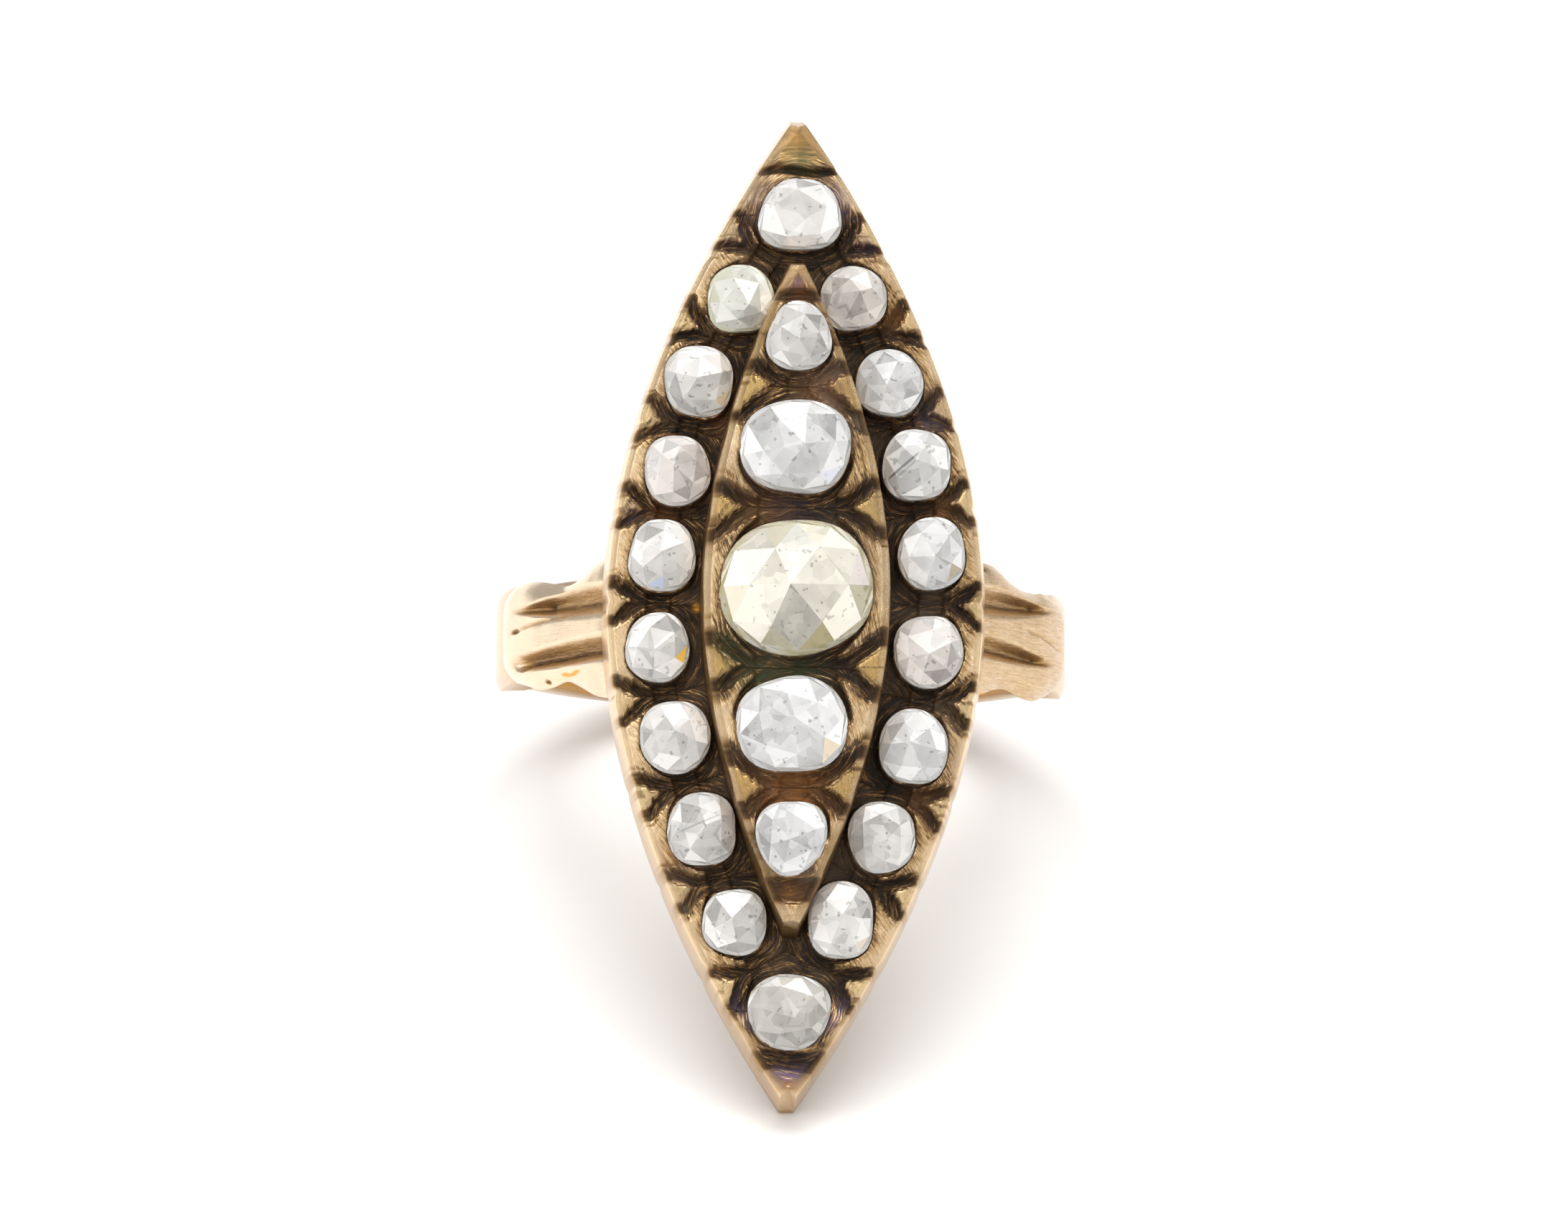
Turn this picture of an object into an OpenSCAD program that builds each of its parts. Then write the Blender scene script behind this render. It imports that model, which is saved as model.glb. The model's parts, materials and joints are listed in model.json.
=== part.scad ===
// Navette ring. A pointed oval head in two tiers is set with rose-cut stones,
// and the hoop's shoulders are cut into three lobes.
// It lies on its side: on the lower tip of the head and on the flat of the hoop's base.
// Ring directions: x across the hoop, y along the finger, z out of the face,
// with the centre of the finger hole at zero. rest_pose() lays the ring down.

/* [Hoop] */
// Diameter of the finger hole
finger_d = 17.4; // [16.5:0.1:18.5]
// Thickness of the hoop at its sides
hoop_wall = 1.22; // [1.1:0.02:1.4]
// Width of the hoop at its sides
hoop_w = 3.32; // [3:0.02:3.6]
// Width of the hoop at its base
hoop_base_w = 2.1; // [1.8:0.1:2.8]
// How far the outside of the hoop is centred below the finger hole
hoop_drop = 0.25; // [0.2:0.01:0.3]
// Length of the flat worn into the base
base_flat_l = 6.6; // [6:0.1:6.8]

/* [Head] */
// Length of the head from tip to tip, at its back
head_l = 33.7; // [33:0.1:34.5]
// Width of the head, at its back
head_w = 12.96; // [12.8:0.02:13.4]
// Metal between the finger hole and the head's back
back_gap = 0.8; // [0.7:0.05:1]
// Thickness of the lower tier
tier_h = 2.2; // [2:0.1:2.6]
// Length of the raised inner tier, at its foot
inner_l = 23; // [22.6:0.1:23.2]
// Width of the raised inner tier, at its foot
inner_w = 6.44; // [6.36:0.02:6.5]
// Height of the inner tier above the lower one
inner_h = 1.3; // [1.1:0.1:1.5]
// How far the inner tier sits towards the top tip
inner_shift = 0.35; // [0.25:0.05:0.45]

/* [Setting] */
// Depth of the sunk ground round the inner tier
ground_depth = 0.7; // [0.5:0.05:0.9]
// Gap between a stone and its seat
seat_gap = 0.03; // [0.02:0.01:0.05]
// How far a stone reaches down into its seat
seat_depth = 0.5; // [0.4:0.05:0.6]
// Width of the lip round a stone
lip_w = 0.16; // [0.12:0.01:0.2]

/* [Hidden] */
bore_r = finger_d / 2;
hoop_r = bore_r + hoop_wall;
back_z = bore_r + back_gap;
face_z = back_z + tier_h;
inner_z = face_z + inner_h;
ground_z = face_z - ground_depth;

// How full the outlines are: 2 would be a parabola
bow = 1.87;
// Half the width of a blunt tip
tip_half = 0.25;
// How far the belly of the outlines leans to the right
belly_lean = 0.08;
// How much the flanks draw in towards the face, at the belly and at the tips
flank_in = 0.2;
flank_tip_in = 0.42;
inner_flank_in = 0.1;
outline_steps = 24;
// Length and width of the sunk ground round the inner tier
ground_l = 26.9;
ground_w = 8.9;
// How far the inner tier's foot goes down into the ground
inner_sunk = 0.3;

// Stones of the lower tier, in order round it from the top tip, going left:
// name, x, y, width, height, turn
lower_stones = [
    ["stone_top", 0.1, 13.3, 2.7, 2.42, 0],
    ["stone_left_1", -1.88, 10.4, 2.2, 2.28, 10],
    ["stone_left_2", -3.26, 7.6, 2.26, 2.4, 20],
    ["stone_left_3", -3.96, 4.55, 2.16, 2.3, 0],
    ["stone_left_4", -4.42, 1.65, 2.16, 2.4, 30],
    ["stone_left_5", -4.54, -1.45, 2.12, 2.3, 15],
    ["stone_left_6", -3.92, -4.45, 2.26, 2.4, 0],
    ["stone_left_7", -2.98, -7.55, 2.26, 2.4, 25],
    ["stone_left_8", -1.85, -10.65, 2.1, 2.2, 10],
    ["stone_bottom", 0, -13.62, 2.72, 2.44, 0],
    ["stone_right_8", 1.7, -10.55, 2.1, 2.6, 0],
    ["stone_right_7", 3.04, -7.72, 2.2, 2.4, 15],
    ["stone_right_6", 4.08, -4.68, 2.22, 2.48, 25],
    ["stone_right_5", 4.55, -1.45, 2.24, 2.4, 5],
    ["stone_right_4", 4.64, 1.85, 2.2, 2.4, 20],
    ["stone_right_3", 4.1, 4.85, 2.26, 2.34, 0],
    ["stone_right_2", 3.16, 7.62, 2.18, 2.2, 30],
    ["stone_right_1", 1.92, 10.48, 2.16, 2.14, 10],
];
// Stones of the inner tier, from the top, with the same columns
inner_stones = [
    ["stone_centre_1", 0.05, 8.95, 2.05, 2.3, 0],
    ["stone_centre_2", 0, 5.25, 3.65, 3.15, 20],
    ["stone_centre_3", 0.05, 0.5, 5, 4.5, 0],
    ["stone_centre_4", -0.05, -4.12, 3.75, 3.15, 10],
    ["stone_centre_5", -0.03, -7.88, 2.28, 2.44, 25],
];
// How square the stones are: 2 is an ellipse
stone_square = 2.3;
girdle_points = 12;
// How far the top of a stone's girdle lies below the edge of its lip
girdle_low = 0.04;
// Dome of a stone as a share of its width, and its rings of corners as shares of its size
dome_share = 0.2;
star_share = 0.62;
star_rise = 0.66;
table_share = 0.14;
// Spread of a lip's foot, how far it goes down into the ground, and how far it stands up
lip_foot = 0.18;
lip_sunk = 0.1;
lip_proud = 0.05;

// Cuts between the stones, for each tier: width and depth of the channel,
// width and depth of the cuts beside a rim triangle, base and depth of the triangle
lower_cut = [0.62, 0.62, 0.46, 0.42, 1.0, 0.85];
inner_cut = [0.7, 0.6, 0.5, 0.42, 1.15, 0.95];
// Cuts across the tips: y, width, depth
lower_tip_cuts = [[14.95, 0.5, 0.45], [-15.2, 0.8, 0.5]];
inner_tip_cuts = [[10.38, 0.4, 0.4], [-9.62, 0.9, 0.5]];
// Width of a cut's floor as a share of its width, and how far its cutter stands up
cut_floor = 0.3;
cut_over = 0.4;
// How far a channel runs past the middle of the gap, and past a triangle's point
channel_in = 0.1;
channel_out = 0.15;
// Length of the cuts beside a triangle, as a share of the triangle's side
triangle_cut_share = 1.9;
// Steps in finding the rim from between two stones, and how much of the way each one goes
reach_steps = 14;
reach_share = 0.6;

// Each shoulder from the hoop's side up to the head:
// angle, half width, radius of the crest, depth of the two flutes, place of the middle along the finger
left_shoulder = [
    [12, 1.66, 10.05, 0, 0],
    [17, 1.6, 10.2, 0.04, -0.05],
    [22, 1.72, 10.3, 0.1, -0.1],
    [27, 1.8, 10.36, 0.17, -0.2],
    [32, 1.86, 10.4, 0.24, -0.35],
    [37, 1.78, 10.43, 0.3, -0.42],
    [42, 1.65, 10.5, 0.34, -0.43],
    [46, 1.8, 10.62, 0.38, -0.48],
    [51, 2.15, 10.86, 0.42, -0.54],
    [56, 2.32, 11.14, 0.42, -0.53],
    [62, 2.34, 11.2, 0.3, -0.5],
    [70, 2.3, 10.7, 0, -0.4],
];
right_shoulder = [
    [12, 1.66, 10.05, 0, 0],
    [17, 1.6, 10.2, 0.04, -0.1],
    [22, 1.66, 10.3, 0.1, -0.25],
    [27, 1.8, 10.36, 0.17, -0.35],
    [32, 1.85, 10.4, 0.24, -0.5],
    [37, 1.86, 10.43, 0.3, -0.45],
    [42, 1.9, 10.5, 0.34, -0.24],
    [46, 2.08, 10.62, 0.38, -0.12],
    [51, 2.25, 10.86, 0.42, -0.2],
    [56, 2.32, 11.14, 0.42, -0.25],
    [62, 2.34, 11.2, 0.3, -0.3],
    [70, 2.3, 10.7, 0, -0.3],
];
flute_y = 0.94;
flute_half = 0.6;
shoulder_edge_drop = 0.5;
shoulder_steps = 18;
shoulder_foot = [1.2, 9.2];
// The hoop keeps its full width down to here, then narrows to its base
taper_start_z = 0.5;
taper_end_z = -5.5;
// It is narrower under the shoulders, which cover it from here up
neck_z = 3.2;
neck_w = 2.9;
// Roundness of the hoop's outside, and the shares of its width where the section has corners
hoop_crown = 0.22;
crown_power = 5;
hoop_crown_at = [-1, -0.9, -0.7, 0.7, 0.9, 1];
hoop_steps = 72;
// The hoop's blank reaches in past the finger hole's wall
inside_r = bore_r - 0.9;
// Longer than the head is wide, and than the hoop
through = 20;

// The ring touches the floor at the lower tip of its back, and at the base of the hoop
base_z = -hoop_drop - sqrt(hoop_r * hoop_r - base_flat_l * base_flat_l / 4);
touch_run = head_l / 2 - hoop_base_w / 2;
touch_rise = back_z - base_z;
lean = atan2(touch_rise, touch_run);
rest_lift = head_l / 2 * sin(lean) - back_z * cos(lean);
// Laid down, it reaches from the lower tip's face to the far edge of the hoop's base,
// and the middle between them comes to zero
front_y = -(head_l / 2 - flank_tip_in) * cos(lean) - face_z * sin(lean);
rear_y = hoop_base_w / 2 * cos(lean) - base_z * sin(lean);
rest_shift = -(front_y + rear_y) / 2;

// Half the width of a pointed oval, at a share t of its half length
function oval_half(t, w) = tip_half + (w / 2 - tip_half) * (1 - pow(abs(t), bow));
function oval_x(t, w, side) = side * oval_half(t, w) + belly_lean * (1 - t * t);

// Pointed oval, from the lower tip up the right side and down the left one
function oval(l, w, shift) = concat(
    [for (i = [0 : outline_steps]) let (t = 2 * i / outline_steps - 1)
        [oval_x(t, w, 1), t * l / 2 + shift]],
    [for (i = [0 : outline_steps]) let (t = 1 - 2 * i / outline_steps)
        [oval_x(t, w, -1), t * l / 2 + shift]]);

// Rounded, slightly square outline of a stone, grown by a margin
function stone_outline(s, grow) = [for (k = [0 : girdle_points - 1])
    let (a = 360 * k / girdle_points + s[5],
         r = pow(pow(abs(cos(a)), stone_square) + pow(abs(sin(a)), stone_square), -1 / stone_square))
    [s[1] + (s[3] / 2 + grow) * r * cos(a), s[2] + (s[4] / 2 + grow) * r * sin(a)]];

function at_height(points, z) = [for (p = points) [p[0], p[1], z]];
function toward(s, share, points) = [for (p = points)
    [s[1] + (p[0] - s[1]) * share, s[2] + (p[1] - s[2]) * share]];
function mean_r(s) = (s[3] + s[4]) / 4;
function spot(s) = [s[1], s[2]];

// Distance from m along n to the edge of a pointed oval, found in a few steps
function edge_reach(m, n, l, w, shift, reach = 1, left = reach_steps) = left == 0 ? reach
    : let (p = m + n * reach, t = min(1, abs((p[1] - shift) / (l / 2))),
           short = oval_half(t, w) - abs(p[0] - belly_lean * (1 - t * t)))
      edge_reach(m, n, l, w, shift, reach + short * reach_share, left - 1);

// Closed solid between two outlines with the same number of points
module drafted(low, high, z0, z1) {
    n = len(low);
    polyhedron(
        points = concat(at_height(low, z0), at_height(high, z1)),
        faces = concat(
            [[for (i = [0 : n - 1]) i]],
            [[for (i = [0 : n - 1]) 2 * n - 1 - i]],
            [for (i = [0 : n - 1]) let (j = (i + 1) % n) [i, n + i, j]],
            [for (i = [0 : n - 1]) let (j = (i + 1) % n) [j, n + i, n + j]]));
}

// Straight cut from p to q with sloping walls, sunk from height z
module cut_bar(p, q, width, depth, z) {
    floor_half = width * cut_floor / 2;
    top_half = floor_half + (width / 2 - floor_half) * (depth + cut_over) / depth;
    translate([p[0], p[1], z])
        rotate([90, 0, atan2(q[1] - p[1], q[0] - p[0]) + 90])
        linear_extrude(height = norm(q - p))
        polygon([[-top_half, cut_over], [-floor_half, -depth],
                 [floor_half, -depth], [top_half, cut_over]]);
}

// The cuts that leave a bright triangle on the rim, between stones a and b
module rim_cuts(a, b, l, w, shift, z, cut) {
    d = spot(b) - spot(a);
    along = d / norm(d);
    out = [along[1], -along[0]];
    gap = norm(d) - mean_r(a) - mean_r(b);
    m = spot(a) + along * (mean_r(a) + gap / 2);
    edge = m + out * edge_reach(m, out, l, w, shift);
    apex = edge - out * cut[5];
    cut_bar(apex + out * channel_out, m - out * channel_in, cut[0], cut[1], z);
    for (side = [-1, 1]) {
        corner = edge + along * side * cut[4] / 2;
        cut_bar(apex, apex + (corner - apex) * triangle_cut_share, cut[2], cut[3], z);
    }
}

module tip_cut(row, z) {
    cut_bar([-through / 2, row[0]], [through / 2, row[0]], row[1], row[2], z);
}

module seat(s, z) {
    translate([0, 0, z - seat_depth - seat_gap])
        linear_extrude(height = seat_depth + cut_over) polygon(stone_outline(s, seat_gap));
}

module lip(s) {
    drafted(stone_outline(s, lip_w + lip_foot), stone_outline(s, lip_w),
            ground_z - lip_sunk, face_z + lip_proud);
}

module lower_tier() {
    count = len(lower_stones);
    face_l = head_l - 2 * flank_tip_in;
    face_w = head_w - 2 * flank_in;
    difference() {
        union() {
            difference() {
                drafted(oval(head_l, head_w, 0), oval(face_l, face_w, 0), back_z, face_z);
                translate([0, 0, ground_z])
                    linear_extrude(height = tier_h) polygon(oval(ground_l, ground_w, 0));
            }
            for (s = lower_stones) lip(s);
        }
        for (i = [0 : count - 1])
            rim_cuts(lower_stones[i], lower_stones[(i + 1) % count], face_l, face_w, 0, face_z, lower_cut);
        for (row = lower_tip_cuts) tip_cut(row, face_z);
        for (s = lower_stones) seat(s, face_z);
    }
}

module inner_tier() {
    face_l = inner_l - 2 * flank_tip_in;
    face_w = inner_w - 2 * inner_flank_in;
    difference() {
        drafted(oval(inner_l, inner_w, inner_shift), oval(face_l, face_w, inner_shift),
                ground_z - inner_sunk, inner_z);
        for (i = [0 : len(inner_stones) - 2]) {
            a = inner_stones[i];
            b = inner_stones[i + 1];
            rim_cuts(a, b, face_l, face_w, inner_shift, inner_z, inner_cut);
            rim_cuts(b, a, face_l, face_w, inner_shift, inner_z, inner_cut);
        }
        for (row = inner_tip_cuts) tip_cut(row, inner_z);
        for (s = inner_stones) seat(s, inner_z);
        for (s = lower_stones) seat(s, face_z);
    }
}

// One section of the hoop at an angle from the right side, before the finger hole is cut:
// narrowed towards the base, rounded at the sides and flat at the base
function hoop_section(a) =
    let (z = hoop_r * sin(a) - hoop_drop, base_half = hoop_base_w / 2,
         share = max(0, min(1, (z - taper_end_z) / (taper_start_z - taper_end_z))),
         half = z > neck_z ? neck_w / 2 : base_half + (hoop_w / 2 - base_half) * share)
    concat([[inside_r * cos(a), -half, inside_r * sin(a)]],
           [for (v = hoop_crown_at) let (r = hoop_r - hoop_crown * share * pow(abs(v), crown_power))
               [r * cos(a), v * half, max(base_z, r * sin(a) - hoop_drop)]],
           [[inside_r * cos(a), half, inside_r * sin(a)]]);

module hoop_blank() {
    n = len(hoop_crown_at) + 2;
    polyhedron(
        points = [for (i = [0 : hoop_steps - 1]) each hoop_section(360 * i / hoop_steps)],
        faces = [for (i = [0 : hoop_steps - 1], k = [0 : n - 1], half = [0, 1])
            let (here = i * n, there = (i + 1) % hoop_steps * n, next = (k + 1) % n)
            half == 0 ? [here + k, there + k, there + next] : [here + k, there + next, here + next]]);
}

// Depth cut into the shoulder's crest, at y across it
function flute(y) = abs(abs(y) - flute_y) < flute_half
    ? (1 + cos(180 * (abs(y) - flute_y) / flute_half)) / 2 : 0;

// One section of the shoulder, as points across it, with side 1 for the right
function shoulder_section(row, side) =
    let (a = row[0], top = [for (i = [0 : shoulder_steps])
        let (v = sin(90 * (2 * i / shoulder_steps - 1)), y = row[1] * v)
        [y + row[4], row[2] - row[3] * flute(y) - shoulder_edge_drop * pow(abs(v), crown_power)]])
    [for (q = concat([[-shoulder_foot[0], shoulder_foot[1]]], top, [shoulder_foot]))
        [side * q[1] * cos(a), q[0], q[1] * sin(a)]];

module shoulder(rows, side) {
    count = len(rows);
    n = shoulder_steps + 3;
    faces = concat(
        [[for (i = [0 : n - 1]) n - 1 - i]],
        [[for (i = [0 : n - 1]) (count - 1) * n + i]],
        [for (r = [0 : count - 2], i = [0 : n - 1]) let (j = (i + 1) % n)
            [r * n + i, r * n + j, (r + 1) * n + j]],
        [for (r = [0 : count - 2], i = [0 : n - 1]) let (j = (i + 1) % n)
            [r * n + i, (r + 1) * n + j, (r + 1) * n + i]]);
    polyhedron(
        points = [for (row = rows) each shoulder_section(row, side)],
        faces = side < 0 ? faces : [for (f = faces) [for (k = [len(f) - 1 : -1 : 0]) f[k]]]);
}

// Lays the ring down on its side
module rest_pose() {
    translate([0, rest_shift, rest_lift]) rotate([lean, 0, 0]) children();
}

module ring_body() {
    color("#c9a468") rest_pose() difference() {
        union() {
            hoop_blank();
            shoulder(right_shoulder, 1);
            shoulder(left_shoulder, -1);
            lower_tier();
            inner_tier();
        }
        rotate([90, 0, 0]) cylinder(r = bore_r, h = through, center = true, $fn = 180);
    }
}

// Rose-cut stone: flat back, upright girdle, a ring of lower facets, six star facets, small table
module rose_cut(s, z) {
    n = girdle_points;
    h = n / 2;
    rim = stone_outline(s, 0);
    dome = dome_share * max(s[3], s[4]);
    girdle_z = z - girdle_low;
    star = toward(s, star_share, [for (k = [0 : h - 1]) rim[2 * k]]);
    top = toward(s, table_share, [for (k = [0 : h - 1]) rim[2 * k]]);
    polyhedron(
        points = concat(at_height(rim, z - seat_depth), at_height(rim, girdle_z),
                        at_height(star, girdle_z + star_rise * dome), at_height(top, girdle_z + dome)),
        faces = concat(
            [[for (k = [0 : n - 1]) k]],
            [for (k = [0 : n - 1]) let (j = (k + 1) % n) [k, n + k, n + j, j]],
            [for (k = [0 : h - 1]) [n + 2 * k, 2 * n + k, n + 2 * k + 1]],
            [for (k = [0 : h - 1]) [n + 2 * k + 1, 2 * n + k, 2 * n + (k + 1) % h]],
            [for (k = [0 : h - 1]) [n + 2 * k + 1, 2 * n + (k + 1) % h, n + (2 * k + 2) % n]],
            [for (k = [0 : h - 1]) let (j = (k + 1) % h)
                [2 * n + k, 2 * n + h + k, 2 * n + h + j, 2 * n + j]],
            [[for (k = [0 : h - 1]) 2 * n + 2 * h - 1 - k]]));
}

module lower_stone(s) {
    color("#e9e6df") rest_pose() rose_cut(s, face_z);
}

module inner_stone(s) {
    color("#efe9d6") rest_pose() rose_cut(s, inner_z);
}

ring_body();
for (s = lower_stones) lower_stone(s);
for (s = inner_stones) inner_stone(s);
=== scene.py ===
import json
import math

import bmesh
import bpy
import numpy as np
from mathutils import Matrix, Vector


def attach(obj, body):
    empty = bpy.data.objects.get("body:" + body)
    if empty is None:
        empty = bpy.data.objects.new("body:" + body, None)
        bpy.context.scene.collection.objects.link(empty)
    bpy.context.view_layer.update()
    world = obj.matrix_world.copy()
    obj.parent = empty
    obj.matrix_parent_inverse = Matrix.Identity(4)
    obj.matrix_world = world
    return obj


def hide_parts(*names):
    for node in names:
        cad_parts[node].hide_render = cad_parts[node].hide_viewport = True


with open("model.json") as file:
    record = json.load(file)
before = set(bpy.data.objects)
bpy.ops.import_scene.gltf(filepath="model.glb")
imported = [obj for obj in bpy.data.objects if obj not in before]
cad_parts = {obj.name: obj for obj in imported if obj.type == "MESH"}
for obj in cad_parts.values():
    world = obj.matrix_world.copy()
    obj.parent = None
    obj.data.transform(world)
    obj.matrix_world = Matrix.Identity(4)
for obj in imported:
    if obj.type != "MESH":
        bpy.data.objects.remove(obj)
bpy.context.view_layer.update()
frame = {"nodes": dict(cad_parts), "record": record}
print("frame loaded")

# All shapes are worked out in the ring's own directions, in millimetres from the centre of the finger hole:
# x across the hoop, y along the finger towards the top tip, z out of the face. The mount says how it lies.
mm = 0.001
hole = next(m for m in frame["record"]["mounts"] if m["name"] == "finger_hole")
holeCentre = np.array(hole["pos_m"])
alongFinger = np.array(hole["axis"])
ringAxes = np.array([[1.0, 0.0, 0.0], alongFinger, np.cross([1.0, 0.0, 0.0], alongFinger)])


def toWorld(points):
    return holeCentre + (np.asarray(points) * mm) @ ringAxes


def toRing(points):
    return (np.asarray(points) - holeCentre) @ ringAxes.T / mm


def nodeBox(name):
    corners = toRing([v.co for v in frame["nodes"][name].data.vertices])
    return corners.min(0), corners.max(0)


bodyLow, bodyHigh = nodeBox("ring_body")
head = {
    "back": 9.5, "ground": 11.0, "face": 11.7, "innerFace": bodyHigh[2],     # heights out of the face
    "bow": 1.87,          # fullness of the pointed oval
    "tipHalf": 0.25,      # half width of its blunt tips
    "bellyLean": 0.08,    # how far its belly stands to the right
}

# Smooth value noise on a seeded lattice, for the hand-cut relief
latticeSize = 256
latticeSeed = 11
lattice = np.random.default_rng(latticeSeed).random((latticeSize, latticeSize))


def ripple(x, y):
    xi, yi = np.floor(x).astype(int), np.floor(y).astype(int)
    fx, fy = x - xi, y - yi
    fx, fy = fx * fx * (3 - 2 * fx), fy * fy * (3 - 2 * fy)
    a, b = xi % latticeSize, yi % latticeSize
    a1, b1 = (a + 1) % latticeSize, (b + 1) % latticeSize
    low = lattice[a, b] * (1 - fx) + lattice[a1, b] * fx
    high = lattice[a, b1] * (1 - fx) + lattice[a1, b1] * fx
    return low * (1 - fy) + high * fy - 0.5


def ease(low, high, value):
    t = np.clip((value - low) / (high - low), 0, 1)
    return t * t * (3 - 2 * t)


def swell(off, reach):
    return np.exp(-(off / reach) ** 2)


def joined(*parts):    # rows such as points from their parts, any of which may be a single number
    return np.stack(np.broadcast_arrays(*parts), -1)


def halfWidth(t, width):
    full = width / 2 - head["tipHalf"]
    return head["tipHalf"] + full * (1 - np.abs(t) ** head["bow"])


def bellyShift(t):
    return head["bellyLean"] * (1 - t * t)


# What makes each stone its own: facets round its star, turn of their corners, where its point lies,
# slope in degrees, colour, direction and size of its blunt corners, directions of facets with a painted glint
# and of facets with a painted dark reflection
stoneColumns = ("facets", "turn", "pointX", "pointY", "slope", "colour",
                "cornerAt", "corner", "brights", "darks")
stoneLooks = {
    "stone_top": (5, 20, 0.2, -0.1, 6, "white", 90, 0.05, (200, 262, 330, 25), ()),
    "stone_left_1": (5, 40, 0.25, -0.2, 12, "greenish", 100, 0.03, (20, 340), (170,)),
    "stone_left_2": (5, 90, -0.05, 0.05, 10, "grey", 40, 0.015, (60,), (200,)),
    "stone_left_3": (6, 20, -0.1, 0.1, 11, "rosy", 0, 0.015, (215,), (100,)),
    "stone_left_4": (6, 90, 0.0, 0.1, 12, "white", 90, 0.03, (170, 20), (110,)),
    "stone_left_5": (5, 40, -0.1, -0.1, 10, "white", 200, 0.02, (300, 130), (60, 250)),
    "stone_left_6": (6, 50, 0.0, 0.15, 12, "white", 30, 0.015, (255, 10), ()),
    "stone_left_7": (5, 25, 0.1, 0.1, 8, "cracked", 80, 0.02, (250,), (120,)),
    "stone_left_8": (5, 60, -0.1, 0.1, 11, "white", 60, 0.02, (215, 100), (150, 350)),
    "stone_bottom": (5, 35, 0.1, -0.2, 6, "dull", 270, 0.025, (80,), (300,)),
    "stone_right_8": (6, 5, 0.05, 0.15, 12, "white", 80, 0.015, (85, 215, 330), (20,)),
    "stone_right_7": (6, 30, 0.15, -0.1, 10, "grey", 140, 0.015, (330, 95), (180,)),
    "stone_right_6": (6, 55, -0.1, 0.1, 12, "blue", 90, 0.02, (60, 250, 10), (190,)),
    "stone_right_5": (6, 20, 0.0, -0.1, 11, "rosy", 30, 0.015, (170, 235), (95, 0, 300)),
    "stone_right_4": (5, 45, 0.1, -0.1, 8, "blue", 200, 0.02, (240, 160), (80,)),
    "stone_right_3": (5, 65, 0.0, 0.1, 8, "needle", 100, 0.015, (280, 20), (130,)),
    "stone_right_2": (6, 10, -0.1, -0.1, 12, "blue", 330, 0.02, (260, 310), (120, 180)),
    "stone_right_1": (5, 30, 0.2, 0.2, 11, "brown", 350, 0.02, (60, 330), (210, 170)),
    "stone_centre_1": (5, 80, 0.0, -0.1, 12, "grey", 92, 0.06, (235,), (60, 160, 330)),
    "stone_centre_2": (6, 10, 0.15, 0.0, 11, "blue", 300, 0.02, (185, 330, 90), (150,)),
    "stone_centre_3": (6, 0, -0.09, 0.0, 10, "yellow", 0, 0.0, (322, 205, 160, 45), (270, 115)),
    "stone_centre_4": (6, 40, 0.05, 0.1, 11, "blue", 200, 0.015, (20, 330, 240), (190,)),
    "stone_centre_5": (6, 20, -0.05, -0.1, 11, "blue", 268, 0.055, (280, 40), (200, 110)),
}
outline = {
    "square": 2.3,                                 # 2 would make the stones ellipses
    "waves": [(2, 0.015), (4, 0.012), (5, 0.01)],  # how far the outlines stray: waves round, share
    "corners": 3, "seed": 100,
}


def readStone(number, name):
    low, high = nodeBox(name)
    inner = name.startswith("stone_centre")
    chance = np.random.default_rng(outline["seed"] + number)
    return dict(
        zip(stoneColumns, stoneLooks[name]), name=name, number=number, inner=inner, chance=chance,
        x=(low[0] + high[0]) / 2, y=(low[1] + high[1]) / 2, w=high[0] - low[0], h=high[1] - low[1],
        level=head["innerFace"] if inner else head["face"],
        waves=chance.random(len(outline["waves"])) * 2 * math.pi)


stones = [readStone(i, name) for i, name in enumerate(stoneLooks)]
lowerStones = [s for s in stones if not s["inner"]]
innerStones = [s for s in stones if s["inner"]]


def girdle(s, angle):
    c, d = np.abs(np.cos(angle)), np.abs(np.sin(angle))
    power = outline["square"]
    r = ((c / (s["w"] / 2)) ** power + (d / (s["h"] / 2)) ** power) ** (-1 / power)
    for (count, share), start in zip(outline["waves"], s["waves"]):
        r = r * (1 + share * np.cos(count * angle + start))
    return r * (1 + s["corner"] * np.cos(outline["corners"] * (angle - math.radians(s["cornerAt"]))))


def roundStone(x, y, s):
    dx, dy = x - s["x"], y - s["y"]
    angle = np.arctan2(dy, dx)
    return np.hypot(dx, dy) - girdle(s, angle), angle


def meshPiece(name, points, faces, marks):
    mesh = bpy.data.meshes.new(name)
    count, corners = faces.shape
    mesh.vertices.add(len(points))
    mesh.vertices.foreach_set("co", toWorld(points).astype(np.float32).ravel())
    mesh.loops.add(count * corners)
    mesh.loops.foreach_set("vertex_index", faces.astype(np.int32).ravel())
    mesh.polygons.add(count)
    mesh.polygons.foreach_set("loop_start", np.arange(0, count * corners, corners, dtype=np.int32))
    mesh.update(calc_edges=True)
    for key, values in marks.items():
        values = np.asarray(values, np.float32)
        kind, field = ("FLOAT", "value") if values.ndim == 1 else ("FLOAT_VECTOR", "vector")
        mesh.attributes.new(key, kind, "POINT").data.foreach_set(field, values.ravel())
    mesh.polygons.foreach_set("use_smooth", np.ones(count, bool))
    mesh.validate()
    return addPiece(name, mesh)


def addPiece(name, mesh):
    piece = bpy.data.objects.new(name, mesh)
    bpy.context.scene.collection.objects.link(piece)
    return piece


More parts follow.
